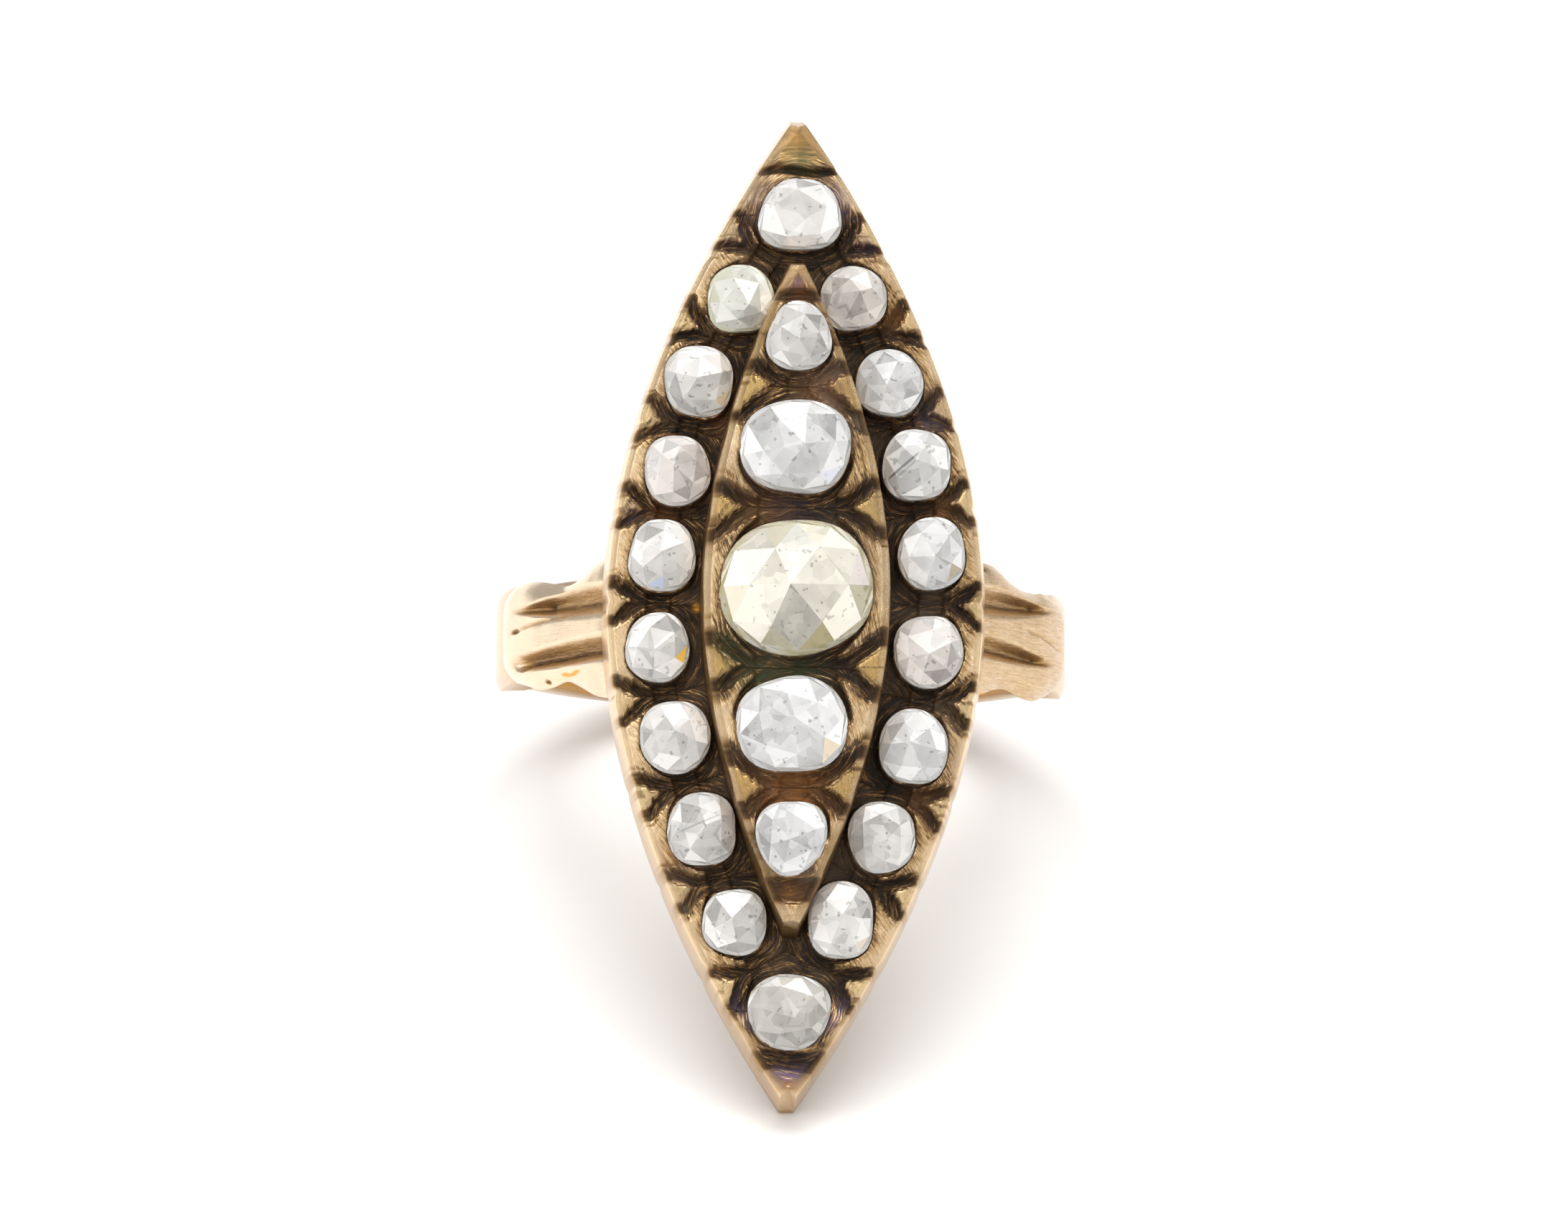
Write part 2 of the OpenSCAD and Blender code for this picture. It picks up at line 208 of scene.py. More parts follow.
def gridFaces(rows, columns, closeRows=False, flip=False):
    r = np.arange(rows if closeRows else rows - 1)
    r, c = np.meshgrid(r, np.arange(columns), indexing="ij")
    r1, c1 = (r + 1) % rows, (c + 1) % columns
    quads = joined(r * columns + c, r1 * columns + c, r1 * columns + c1, r * columns + c1).reshape(-1, 4)
    return quads[:, ::-1] if flip else quads


def closeEnds(piece, rows, columns):
    bm = bmesh.new()
    bm.from_mesh(piece.data)
    bm.verts.ensure_lookup_table()
    for row in (0, rows - 1):
        bm.faces.new([bm.verts[row * columns + c] for c in range(columns)]).smooth = False
    bmesh.ops.recalc_face_normals(bm, faces=bm.faces)
    bm.to_mesh(piece.data)
    bm.free()
    return piece


# The stones down the two sides of the lower tier. The end stones stand near the middle and count on both.
leftUpTo, rightFrom = 0.15, -0.02
upward = sorted(lowerStones, key=lambda s: s["y"])
leftStones = [s for s in upward if s["x"] < leftUpTo]
rightStones = [s for s in upward if s["x"] > rightFrom]


def notchPlaces(group):
    return [(a["y"] + b["y"]) / 2 for a, b in zip(group, group[1:])]


def lowerAcross(y):    # most columns lie beside the inner tier, a few under it
    t = (y - innerTier["shift"]) / (innerTier["length"] / 2)
    covered = halfWidth(np.clip(t, -1, 1), innerTier["width"]) - lowerTier["overlap"]
    inner = np.where(np.abs(t) < 1, covered, lowerTier["seam"])
    outer = halfWidth(y / (lowerTier["length"] / 2), lowerTier["faceWidth"])
    low = 0.5 - 0.5 * np.clip(inner / np.maximum(outer, 0.3), 0.02, 0.98)
    left = low * np.linspace(0, 1, lowerTier["columns"])
    under = low + (1 - 2 * low) * np.linspace(0, 1, lowerTier["underColumns"] + 2)[1:-1]
    return np.hstack([left, under, 1 - left[:, ::-1]])


def innerAcross(y):
    return np.linspace(0, 1, innerTier["columns"]) + 0 * y


# The two tiers of the head. Between two stones runs a channel that forks round a bright triangle on the rim.
# Fork: half its width at the rim, its length. Groove and depth: at the fork's root, at the rim. Channel:
# width, how fast it widens, depth. Tip grooves: place, half width, depth. Tip stains: from, to, strength;
# painted
# side shade: from, to, strength, and the middle and reach. Flank dirt and painted shade: dirt at the rim,
# more
# painted shade at the foot, power. Tints: place, reach, strength.
lowerTier = {
    "name": "head_lower_tier", "across": lowerAcross, "rows": 520, "columns": 68, "underColumns": 6,
    "flankRows": 7, "backColumns": 6, "overlap": 0.15, "seam": 0.05,
    "length": bodyHigh[1] - bodyLow[1], "width": 12.96, "shift": 0.0, "tipIn": 0.42, "flankIn": 0.2,
    "face": head["face"], "foot": head["back"], "chamfer": 0.17, "tipChamfer": 0.15, "chamferFall": 0.7,
    "bulge": 0.05, "notches": {-1: notchPlaces(leftStones), 1: notchPlaces(rightStones)},
    "stones": lowerStones, "pairs": list(zip(lowerStones, lowerStones[1:] + lowerStones[:1])),
    "pairReach": 3.2, "fork": (0.76, 1.22), "bend": 1.25, "groove": (0.33, 0.2), "depth": (0.5, 0.3),
    "channel": (0.32, 1.5, 0.62), "inward": 2.2, "moatWidth": 0.34,
    "tipGrooves": [(14.8, 0.17, 0.3), (-15.25, 0.42, 0.45)], "tipWave": 0.06,
    "tone": 0.0, "worn": 0.16, "rubbed": (0.1, 0.34), "brushed": 38, "flankDirtAndShade": (0.02, 0.2, 1.0),
    "tipStains": [(14.85, 14.95, 0.36), (-15.4, -15.6, 0.2), (-16.1, -16.25, -0.3)],
    # the next entry is painted shade on the right side of the face
    "paintedSideShade": [(2.0, 4.0, 0.07, 0.0, math.inf), (1.5, 3.5, 0.12, 5.2, 1.4)],
    "tints": {
        "green": [(-2.6, -1.2, 0.5, 0.3), (0.1, 15.25, 0.6, 0.75)],
        "violet": [(-0.35, -15.7, 0.26, 1.1), (0.05, -15.8, 0.28, 1.2), (0.4, -15.65, 0.24, 0.9),
                   (1.5, 13.9, 0.6, 0.9), (-1.35, 13.9, 0.6, 0.55), (2.5, 12.4, 0.5, 0.5),
                   (-2.3, 12.7, 0.5, 0.4), (1.75, -13.9, 0.55, 0.8), (-1.8, -13.8, 0.6, 0.5),
                   (4.6, 6.4, 0.6, 0.4), (-5.6, 3.1, 0.4, 0.35)],
        "amber": [(-3.22, 0.0, 0.13, 1.6), (0.0, 15.85, 0.2, 0.3)],
        "rust": [(0.0, -16.15, 0.3, 0.9), (-4.4, 3.0, 0.5, 0.6), (5.0, 3.4, 0.5, 0.5), (-2.3, 6.3, 0.5, 0.4),
                 (3.3, 9.9, 0.4, 0.8), (-4.2, -8.6, 0.6, 0.7), (4.4, -6.4, 0.6, 0.4)],
        "plain": [(0.0, 15.7, 0.85, 1.2), (0.0, -16.4, 0.4, 0.8)],
        "soil": [(-5.84, -1.4, 1.0, -0.3), (-5.2, -4.6, 0.9, -0.14), (5.87, -1.9, 0.8, -0.12),
                 (5.37, 4.5, 0.7, -0.14), (1.75, 13.7, 0.5, -0.16), (-1.0, 14.3, 0.5, 0.22),
                 (-1.1, -14.5, 0.6, 0.3), (1.1, -14.6, 0.6, 0.34), (-1.7, -13.6, 0.5, 0.2),
                 (1.8, -13.4, 0.5, 0.24), (0.9, 14.4, 0.5, 0.22), (-1.75, 12.6, 0.45, 0.34),
                 (1.8, 12.5, 0.45, 0.34), (-5.4, 3.4, 0.6, 0.12)]},
}
innerPairs = list(zip(innerStones, innerStones[1:]))
innerTier = {
    "name": "head_inner_tier", "across": innerAcross, "rows": 360, "columns": 104, "flankRows": 8,
    "backColumns": 2, "length": 23.0, "width": 6.44, "shift": 0.35, "tipIn": 0.42, "flankIn": 0.1,
    "face": head["innerFace"], "foot": head["ground"] - 0.3, "chamfer": 0.23, "tipChamfer": 0.06,
    "chamferFall": 0.8, "bulge": 0.02, "notches": {-1: [], 1: []},
    "stones": innerStones, "pairs": innerPairs + [(b, a) for a, b in innerPairs],
    "pairReach": 3.6, "fork": (1.04, 1.5), "bend": 1.2, "groove": (0.33, 0.24), "depth": (0.5, 0.3),
    "channel": (0.4, 1.8, 0.58), "inward": 0.0, "moatWidth": 0.6,
    "tipGrooves": [(10.38, 0.24, 0.35), (-9.62, 0.5, 0.5)], "tipWave": 0.0,
    "tone": 1.0, "worn": 0.33, "rubbed": (0.25, 0.42), "brushed": 18, "flankDirtAndShade": (0.1, 0.85, 1.2),
    "tipStains": [(10.5, 10.6, 0.45), (-10.1, -10.3, -0.2)], "paintedSideShade": [],
    "tints": {
        "green": [(-2.25, -1.5, 0.42, 1.0), (-1.2, -2.35, 0.8, 0.9), (0.2, -2.5, 0.7, 0.7),
                  (-1.6, 2.7, 0.6, 0.3)],
        "violet": [(0.0, 10.85, 0.3, 1.2), (1.4, 7.5, 0.6, 0.3), (-0.3, 3.2, 0.8, 0.25)],
        "rust": [(-0.1, -6.2, 1.2, 1.1), (0.8, 7.1, 0.8, 0.8), (0.1, 10.55, 0.35, 0.9),
                 (0.0, -9.75, 0.45, 0.7), (-1.2, 3.0, 0.8, 0.4)],
        "plain": [(0.0, 11.2, 0.6, 0.9), (0.0, -10.9, 0.6, 0.6)],
        "soil": [(-2.08, 5.4, 0.8, -0.32), (2.67, 0.6, 0.9, -0.2), (-2.2, -4.0, 0.8, -0.15),
                 (2.2, -4.0, 0.8, -0.2), (2.25, 5.5, 0.8, 0.12)]},
}
for tier in (lowerTier, innerTier):
    tier["faceLength"] = tier["length"] - 2 * tier["tipIn"]
    tier["faceWidth"] = tier["width"] - 2 * tier["flankIn"]

# How the cuts are worked. A wall says where a cut's side starts and ends, as shares of its half width.
cuts = {
    "rimSteps": 14, "rimShare": 0.6,                   # the search for the rim beyond two stones
    "lean": 0.16, "waver": 0.12, "fringe": 0.12,       # uneven arms, a wavy line and fringed sides
    "forkWall": (0.1, 1.2), "forkEnd": 1.4, "channelWall": (0.3, 1.15), "channelEnd": (-0.15, 0.25),
    "nose": 1.2, "noseWall": (0.1, 1.1),               # the round root of the fork
    "moat": 0.42, "moatWall": (0.5, 1.0), "moatEnd": (-0.45, 0.85), "moatSide": (1.5, 2.0),
    "moatRagged": 0.05, "triangleIn": 0.75, "triangleWall": (-0.08, 0.02), "triangleEnd": 1.35,
    "halo": (0.5, 2.6), "channelHalo": (0.9, 1.5),     # the dark margin of the cuts
    "fray": (0.1, 0.24), "frayFrom": (0.3, 0.65),      # short strokes that overshoot near the rim
}


def rimReach(middle, out, tier):
    reach = 1.0
    for _ in range(cuts["rimSteps"]):
        p = middle + out * reach
        t = min(1.0, abs((p[1] - tier["shift"]) / (tier["faceLength"] / 2)))
        reach += (halfWidth(t, tier["faceWidth"]) - abs(p[0] - bellyShift(t))) * cuts["rimShare"]
    return reach


def pairCuts(x, y, near, a, b, tier):
    pa, pb = np.array([a["x"], a["y"]]), np.array([b["x"], b["y"]])
    along = (pb - pa) / np.linalg.norm(pb - pa)
    out = np.array([along[1], -along[0]])
    ra = girdle(a, math.atan2(along[1], along[0]))
    rb = girdle(b, math.atan2(-along[1], -along[0]))
    gap = np.linalg.norm(pb - pa) - ra - rb
    middle = pa + along * (ra + gap / 2)
    base, length = tier["fork"]
    reach = rimReach(middle, out, tier) - length
    root = middle + out * reach
    u = (x - root[0]) * along[0] + (y - root[1]) * along[1]
    v = (x - root[0]) * out[0] + (y - root[1]) * out[1]
    seed = a["number"] * 7.3 + (3.1 if out[0] > 0 else 0)
    u = u + cuts["waver"] * ripple(v * 3 + seed, u * 2)
    # the fork: two grooves that leave each other as they near the rim
    share = np.clip(v / length, 0, cuts["forkEnd"])
    bend = tier["bend"]
    uneven = cuts["lean"] * np.sign(u) * ripple(np.array([seed]), np.array([0.5]))
    centre = base * share ** bend * (1 + uneven)
    slope = base * bend * np.clip(share, 0.05, cuts["forkEnd"]) ** (bend - 1) / length
    width, depth = (start + (end - start) * share for start, end in (tier["groove"], tier["depth"]))
    side = (np.abs(u) - centre) / np.sqrt(1 + slope ** 2)
    side = side + cuts["fringe"] * ripple(v * 11 + seed, side * 4 + seed)
    off = np.abs(side)
    fork = depth * (1 - ease(*cuts["forkWall"], off / width)) * (v > 0)
    # the channel, inward from the fork, widening till it meets the stones
    narrow, widen, sunk = tier["channel"]
    spread = narrow + widen * np.clip(-v, 0, 3)
    inward = v > -max(reach, tier["inward"])
    within = (1 - ease(*cuts["channelEnd"], v)) * inward
    channel = sunk * (1 - ease(*cuts["channelWall"], np.abs(u) / spread)) * within
    noseOff = np.hypot(u, v) / (tier["groove"][0] * cuts["nose"])
    nose = tier["depth"][0] * (1 - ease(*cuts["noseWall"], noseOff))
    # the cut keeps on round each stone for a way, so the flats beside the stones end in points
    moatWidth = np.maximum(tier["moatWidth"] * (1 - ease(*cuts["moatEnd"], v / length)), 1e-3)
    moatOff = (near + cuts["moatRagged"] * ripple(v * 6 + seed, u * 3)) / moatWidth
    moat = cuts["moat"] * (1 - ease(*cuts["moatWall"], moatOff))
    moat = moat * (1 - ease(*cuts["moatSide"], np.abs(u))) * inward
    triangle = (v > 0) * (1 - ease(*cuts["triangleWall"], side + width * cuts["triangleIn"]))
    triangle = triangle * (share < cuts["triangleEnd"])
    halo = np.maximum((1 - ease(*cuts["halo"], off / width)) * (v > -0.1),
                      (1 - ease(*cuts["channelHalo"], np.abs(u) / spread)) * within)
    fray = ease(*cuts["fray"], ripple(side * 12 + seed, v * 1.3 + seed))
    fray = fray * ease(*cuts["frayFrom"], share) * halo
    return np.maximum(np.maximum(fork, channel), np.maximum(nose, moat)), triangle, halo, fray


# The sunk ground inside the ring of stones: depth, its edge, and where it ends below and above
ground = {"depth": 0.72, "edge": (-0.1, 0.45), "below": (-14.3, -13.2), "above": (14.0, 12.6)}


def sunkGround(x, y):
    left, right = (np.interp(y, [s["y"] for s in group], [s["x"] for s in group])
                   for group in (leftStones, rightStones))
    reach = np.where(x < 0, -left, right) - np.abs(x)
    within = ease(*ground["below"], y) * ease(*ground["above"], y)
    return ground["depth"] * ease(*ground["edge"], reach) * within


def tierMarks(x, y, tier):
    near = np.full(len(x), 9.0)
    angle, which = np.zeros(len(x)), np.zeros(len(x))
    for s in tier["stones"]:
        d, a = roundStone(x, y, s)
        closer = d < near
        near = np.where(closer, d, near)
        angle = np.where(closer, a, angle)
        which = np.where(closer, s["number"], which)
    marks = [np.zeros(len(x)) for _ in range(4)]
    for a, b in tier["pairs"]:
        here = np.hypot(x - (a["x"] + b["x"]) / 2, y - (a["y"] + b["y"]) / 2) < tier["pairReach"]
        for whole, part in zip(marks, pairCuts(x[here], y[here], near[here], a, b, tier)):
            whole[here] = np.maximum(whole[here], part)
    deep, triangle, halo, fray = marks
    if tier is lowerTier:
        deep = np.maximum(deep, sunkGround(x, y))
    for place, wide, down in tier["tipGrooves"]:
        off = np.abs(y - place + tier["tipWave"] * np.sin(x * 3)) / wide
        deep = np.maximum(deep, down * (1 - ease(0.3, 1.15, off)))
        halo = np.maximum(halo, 0.8 * (1 - ease(0.8, 2.2, off)))
    return near, angle, which, deep, triangle, halo, fray


def spotted(x, y, places):
    return sum((k * swell(np.hypot(x - px, y - py), r) for px, py, r, k in places), np.zeros(len(x)))


# The graver's work on a face, then the dirt that years of wear left in it, and painted light on the left half
graver = {
    "strokes": 8.5, "fineStrokes": 19, "strokeDepth": 0.09, "flatDepth": 0.006, "frayDepth": 0.04,
    "ragged": 0.03, "fineRagged": 0.02,                # how far the metal strays where it meets a stone
    "lip": 0.16, "lipHeld": 0.6, "lipRise": 0.008, "lipReach": 0.05, "triangleDepth": 0.05,
    "seat": (-0.05, -0.005), "seatDepth": 0.5,
}
dirtAndShadingLook = {
    "halo": 0.36, "besideStone": 0.3, "besideReach": (0.02, 0.34), "rimRubbed": 0.22,
    "triangleClean": 0.85, "fray": 0.75, "tick": 0.65, "tickFrom": (0.13, 0.22), "cut": (0.03, 0.26),
    # the last entry on the next line is painted light: it makes the left half of the face lighter
    "lipClean": 0.3, "lipEnd": 0.12, "girdleLine": 0.85, "girdleWidth": 0.05, "leftPaintedLight": 0.09,
}
goldTints = ("green", "violet", "amber", "rust")


def tierFace(x, y, rim, tier):
    near, angle, which, deep, triangle, halo, fray = tierMarks(x, y, tier)
    # strokes run round the nearest stone
    along = angle * (near + 1.2)
    grain = ripple(near * graver["strokes"] + 0.4 * ripple(along * 2, which * 5), along * 1.1 + which * 17)
    grain = grain + 0.5 * ripple(near * graver["fineStrokes"], along * 2.3 + which * 29)
    ragged = near + graver["ragged"] * ripple(angle * 9 + which * 3, which * 11.0)
    ragged = ragged + graver["fineRagged"] * ripple(angle * 31, which * 7.0)
    lip = 1 - ease(0.0, graver["lip"], ragged)
    calm = 1 - triangle
    height = -deep * (1 - lip * graver["lipHeld"]) - graver["strokeDepth"] * ease(0.06, 0.4, deep) * grain
    height = height - (graver["flatDepth"] * grain + graver["frayDepth"] * fray) * calm
    height = height - graver["triangleDepth"] * triangle
    height = height + graver["lipRise"] * swell(ragged - graver["lipReach"], graver["lipReach"])
    seat = 1 - ease(*graver["seat"], ragged)
    height = height * (1 - seat) - graver["seatDepth"] * seat

    look = dirtAndShadingLook
    edge = ease(*tier["rubbed"], rim)
    stainAndShade = sum(k * ease(low, high, y) for low, high, k in tier["tipStains"])
    # painted shade: the right side of the face made darker, as it is lit from the left; the tip stains above
    # are real
    for low, high, k, middle, reach in tier["paintedSideShade"]:
        stainAndShade = stainAndShade + k * ease(low, high, x) * swell(y - middle, reach)
    flat = tier["worn"] + stainAndShade * (0.3 + 0.7 * edge) + look["halo"] * halo ** 1.5
    flat = flat + look["besideStone"] * (1 - ease(*look["besideReach"], ragged))
    flat = flat - look["rimRubbed"] * (1 - edge)
    tick = ease(*look["tickFrom"], ripple(along * 5 + which * 3, near * 0.8)) * triangle
    flat = flat * (1 - look["triangleClean"] * triangle) + look["fray"] * fray * (1 - 0.6 * triangle)
    flat = flat + look["tick"] * tick
    lipDirt = 1 - look["lipClean"] * (1 - ease(0.0, look["lipEnd"], ragged))
    dirt = np.maximum(flat, ease(*look["cut"], deep) * lipDirt)
    girdleLine = 1 - ease(0.0, look["girdleWidth"], np.abs(ragged + 0.005))
    dirt = np.clip(np.maximum(dirt, look["girdleLine"] * girdleLine), 0, 1) * (1 - seat)

    # the way the strokes flow: round the stones, and slanting along the tier on its flats
    flow = joined(along + which * 5.0, near + 0.22 * ripple(x * 1.6 + 9, y * 1.6), which * 1.7)
    level = (deep < 0.04) * (near > 0.05) * (np.abs(y) < 12.6)
    lean = math.radians(tier["brushed"])
    brushAlong = y * math.cos(lean) - x * math.sin(lean)
    brushAcross = x * math.cos(lean) + y * math.sin(lean) + 0.4 * ripple(x * 0.9, y * 0.5)
    flow[level] = joined(brushAlong, brushAcross, 40)[level]

    found = {key: spotted(x, y, tier["tints"].get(key, [])) for key in (*goldTints, "plain", "soil")}
    found["violet"] = found["violet"] * (0.2 + 0.8 * edge)
    found["plain"] = np.clip(found["plain"], 0, 1)
    soil = found.pop("soil") * (1 - ease(0.03, 0.1, deep))
    # painted light: the left half of the face is made less dark, as it is lit from the left
    found["dirt"] = np.clip(dirt + soil - look["leftPaintedLight"] * (x < 0), 0, 1)
    found.update(flow=flow, shine=triangle * (1 - ease(0.0, 0.2, deep)), foil=seat)
    found["tone"] = np.full(len(x), tier["tone"])
    return height, found


flank = {"notch": 0.07, "notchReach": 0.16, "wander": 0.05, "wanderPace": 0.35, "fromFace": 0.5}


# One tier of the head: a closed skin of sections across it, from foot to rim, over the face and down again
def tierPiece(tier):
    rows = tier["rows"]
    t = np.linspace(-1, 1, rows)[:, None]
    chamfer = tier["chamfer"] + tier["tipChamfer"] * ease(0.86, 1.0, np.abs(t))
    faceY, footY = (t * tier[key] / 2 + tier["shift"] for key in ("faceLength", "length"))
    faceHalf, footHalf = (halfWidth(t, tier[key]) for key in ("faceWidth", "width"))
    middle = bellyShift(t)
    shares = tier["across"](faceY)
    drawnIn = {}
    for side in (-1, 1):
        notch = sum(flank["notch"] * swell(faceY - at, flank["notchReach"]) for at in tier["notches"][side])
        wander = ripple(faceY * flank["wanderPace"] + 40 + side * 9, faceY * 0 + 3.5)
        drawnIn[side] = notch - flank["wander"] * wander
    leftX = middle - faceHalf + drawnIn[-1]
    rightX = middle + faceHalf - drawnIn[1]
    faceX = (leftX + chamfer) * (1 - shares) + (rightX - chamfer) * shares
    narrow = (rightX - leftX) < 2.4 * chamfer
    faceX = np.where(narrow, (leftX + rightX) / 2 + (shares - 0.5) * 0.02, faceX)
    # towards the tips the chamfer also shortens the face
    shorter = faceY - np.sign(t) * tier["tipChamfer"] * 0.9 * ease(0.9, 1.0, np.abs(t))
    faceYs = shorter + 0 * faceX
    rim = np.minimum(faceX - leftX, rightX - faceX)
    height, marks = tierFace(faceX.ravel(), faceYs.ravel(), rim.ravel(), tier)
    height = height.reshape(faceX.shape)
    marks = {key: value.reshape(*faceX.shape, -1) for key, value in marks.items()}
    rimDirt, footDirtAndShade, shadePower = tier["flankDirtAndShade"]

    def strip(px, py, pz, dirt, flow):
        blank = np.zeros((*px.shape, 1))
        own = {"dirt": blank + np.asarray(dirt)[..., None], "flow": flow, "tone": blank + tier["tone"],
               "plain": blank + 1}
        return joined(px, py, pz), {key: own.get(key, blank) for key in marks}

    def flankStrip(side, k):
        edgeX, column = (leftX, 0) if side < 0 else (rightX, -1)
        top = tier["face"] + height[:, [column]] * 0.8 - chamfer * tier["chamferFall"]
        footX = middle + side * footHalf - side * drawnIn[side] * 0.6
        bulge = tier["bulge"] * np.sin(math.pi * k) * np.sqrt(np.clip(1 - np.abs(t) ** 6, 0, 1))
        px = edgeX * (1 - k) + footX * k + side * bulge
        py = faceY * (1 - k) + footY * k
        pz = top * (1 - k) + tier["foot"] * k
        # dirt along the flank, with painted shade growing down towards its foot
        dirt = rimDirt + footDirtAndShade * k ** shadePower
        dirt = dirt + flank["fromFace"] * marks["dirt"][:, [column], 0] * (1 - k) ** 2
        return strip(px, py, pz, dirt, joined(py, pz * 0.8 + 60, 3.0 + side))

    down = np.linspace(0, 1, tier["flankRows"])
    left, right = flankStrip(-1, down[::-1]), flankStrip(1, down)
    k = np.linspace(0, 1, tier["backColumns"] + 2)[1:-1]
    lastX, lastY = right[0][:, -1:, 0], right[0][:, -1:, 1]
    backX = lastX * (1 - k) + left[0][:, :1, 0] * k
    back = strip(backX, lastY, tier["foot"], rimDirt + footDirtAndShade, joined(lastY, backX, 8.0))
    strips = (left, (joined(faceX, faceYs, tier["face"] + height), marks), right, back)
    grid = np.hstack([points for points, own in strips])
    width = grid.shape[1]
    merged = {key: np.hstack([own[key] for points, own in strips]) for key in marks}
    merged = {key: value.reshape(rows * width, -1).squeeze() for key, value in merged.items()}
    piece = meshPiece(tier["name"], grid.reshape(-1, 3), gridFaces(rows, width), merged)
    return closeEnds(piece, rows, width)


metal = [tierPiece(lowerTier), tierPiece(innerTier)]
print("head cut")

hoop = {
    "bore": hole["dims"]["r_mm"], "outer": 9.92, "drop": 0.25, "width": 3.32, "baseWidth": 2.1, "flat": 6.6,
    "taper": (-5.5, 0.5), "neckZ": 3.2, "neckWidth": 2.9, "neckBlend": 0.6, "crown": 0.2, "crownPower": 9,
    "under": 0.02,                            # how far the skin stays under the solid's
    "innerEdge": 0.16, "innerEdgeFrom": 0.8, "steps": 240,
    "dirt": (0.2, 0.5), "amber": (0.0, 0.4),  # outside, and inside where gold lights gold
}
hoop["baseZ"] = -hoop["drop"] - math.sqrt(hoop["outer"] ** 2 - hoop["flat"] ** 2 / 4)


def mirrored(*shares):
    return np.array([-v for v in shares[::-1]] + [0, *shares])


def hoopPiece():
    a = np.linspace(0, 2 * math.pi, hoop["steps"], endpoint=False)[:, None]
    z = hoop["outer"] * np.sin(a) - hoop["drop"]
    share = ease(*hoop["taper"], z)
    half = hoop["baseWidth"] / 2 + (hoop["width"] - hoop["baseWidth"]) / 2 * share
    neck = ease(hoop["neckZ"] - hoop["neckBlend"], hoop["neckZ"] + hoop["neckBlend"], z)
    half = half * (1 - neck) + hoop["neckWidth"] / 2 * neck
    # the outside, from edge to edge
    v = mirrored(0.3, 0.6, 0.8, 0.9, 0.97, 1)
    outsideCount = len(v)
    r = hoop["outer"] - hoop["under"]
    r = r - hoop["crown"] * (0.35 + 0.65 * share) * np.abs(v) ** hoop["crownPower"]
    height = np.maximum(hoop["baseZ"] + 0.01 * np.abs(v), r * np.sin(a) - hoop["drop"])
    grid, flow = joined(r * np.cos(a), v * half, height), joined(a * r, v * half + 30, 2.0)
    # and the inside, back again
    v = mirrored(0.4, 0.8, 0.94, 1)[::-1]
    edge = np.maximum(0, np.abs(v) - hoop["innerEdgeFrom"]) / (1 - hoop["innerEdgeFrom"])
    r = hoop["bore"] + hoop["innerEdge"] * edge
    inside = joined(r * np.cos(a), v * half * np.where(np.abs(v) < 1, 1, 0.995), r * np.sin(a))
    grid, flow = np.hstack([grid, inside]), np.hstack([flow, joined(a * r, v * half + 50, 4.0)])
    count = grid.shape[1]
    isInside = np.tile(np.arange(count) >= outsideCount, len(a))
    marks = {key: np.where(isInside, hoop[key][1], hoop[key][0]) for key in ("dirt", "amber")}
    whole = np.ones(isInside.size)
    marks.update(flow=flow.reshape(-1, 3), tone=-whole, plain=whole)
    return meshPiece("hoop", grid.reshape(-1, 3), gridFaces(len(a), count, closeRows=True), marks)


# Each shoulder, from the hoop's side up to the head: half width, crest and place of its middle, by angle.
# A flute: place at its tip and at the head, angle of the tip, width at the tip and the head, depth, how
# blunt, tarnish with painted shade in its hollow. A punch mark: distance out, place, depth, length. A groove:
# two
# ends, bow. Painted amber reflection: place, size.
shoulder = {
    "angles": (15.5, 17, 19, 22, 27, 32, 37, 42, 46, 51, 56, 62, 70),
    "crest": (9.86, 10.08, 10.2, 10.3, 10.36, 10.4, 10.43, 10.5, 10.62, 10.86, 11.14, 11.2, 10.7),
    "along": 190, "across": 110, "edgeDrop": 0.5, "foot": (1.2, 9.2), "footDirtAndShade": 0.08,
    "fluteEnd": 58, "fluteWidens": 26, "fluteDeepens": (14, 9),
    "punch": 0.1, "grooveWidth": 0.08, "grooveDepth": 0.09, "ripple": 0.012, "amberGain": 3.2,
    "left": {
        "worn": 0.05,
        "half": (1.5, 1.6, 1.66, 1.72, 1.8, 1.86, 1.78, 1.65, 1.88, 2.26, 2.46, 2.46, 2.3),
        "middle": (-0.04, -0.05, -0.07, -0.1, -0.2, -0.35, -0.42, -0.43, -0.44, -0.43, -0.4, -0.4, -0.4),
        "flutes": [(0.52, 0.5, 24, 0.12, 0.62, 0.5, 0.0, 0.5),
                   (-1.28, -1.14, 24, 0.34, 0.5, 0.46, 1.0, 0.64)],
        "punches": [(8.4, 0.5, 0.12, 1.0), (9.32, -0.13, 0.14, 1.5), (8.38, -2.02, 0.1, 1.0)],
        "grooves": [((9.3, -0.13), (7.6, 0.1), 0.05)],
        "amber": (7.5, -1.78, 0.34, 0.17),
    },
    "right": {
        "worn": 0.27,
        "half": (1.5, 1.58, 1.62, 1.66, 1.8, 1.85, 1.86, 1.9, 2.08, 2.25, 2.32, 2.34, 2.3),
        "middle": (-0.06, -0.1, -0.17, -0.25, -0.35, -0.5, -0.45, -0.24, -0.12, -0.2, -0.25, -0.3, -0.3),
        "flutes": [(0.77, 0.66, 25, 0.12, 0.58, 0.5, 0.0, 0.5),
                   (-1.05, -0.84, 26, 0.16, 0.48, 0.46, 0.3, 0.54)],
        "punches": [(8.7, 0.76, 0.12, 1.0), (8.72, -1.06, 0.12, 1.1), (6.75, 1.75, 0.08, 1.2)],
        "grooves": [((8.05, 0.0), (9.5, -0.52), 0.08)],
        "amber": (6.9, -2.3, 0.6, 0.22),
    },
}


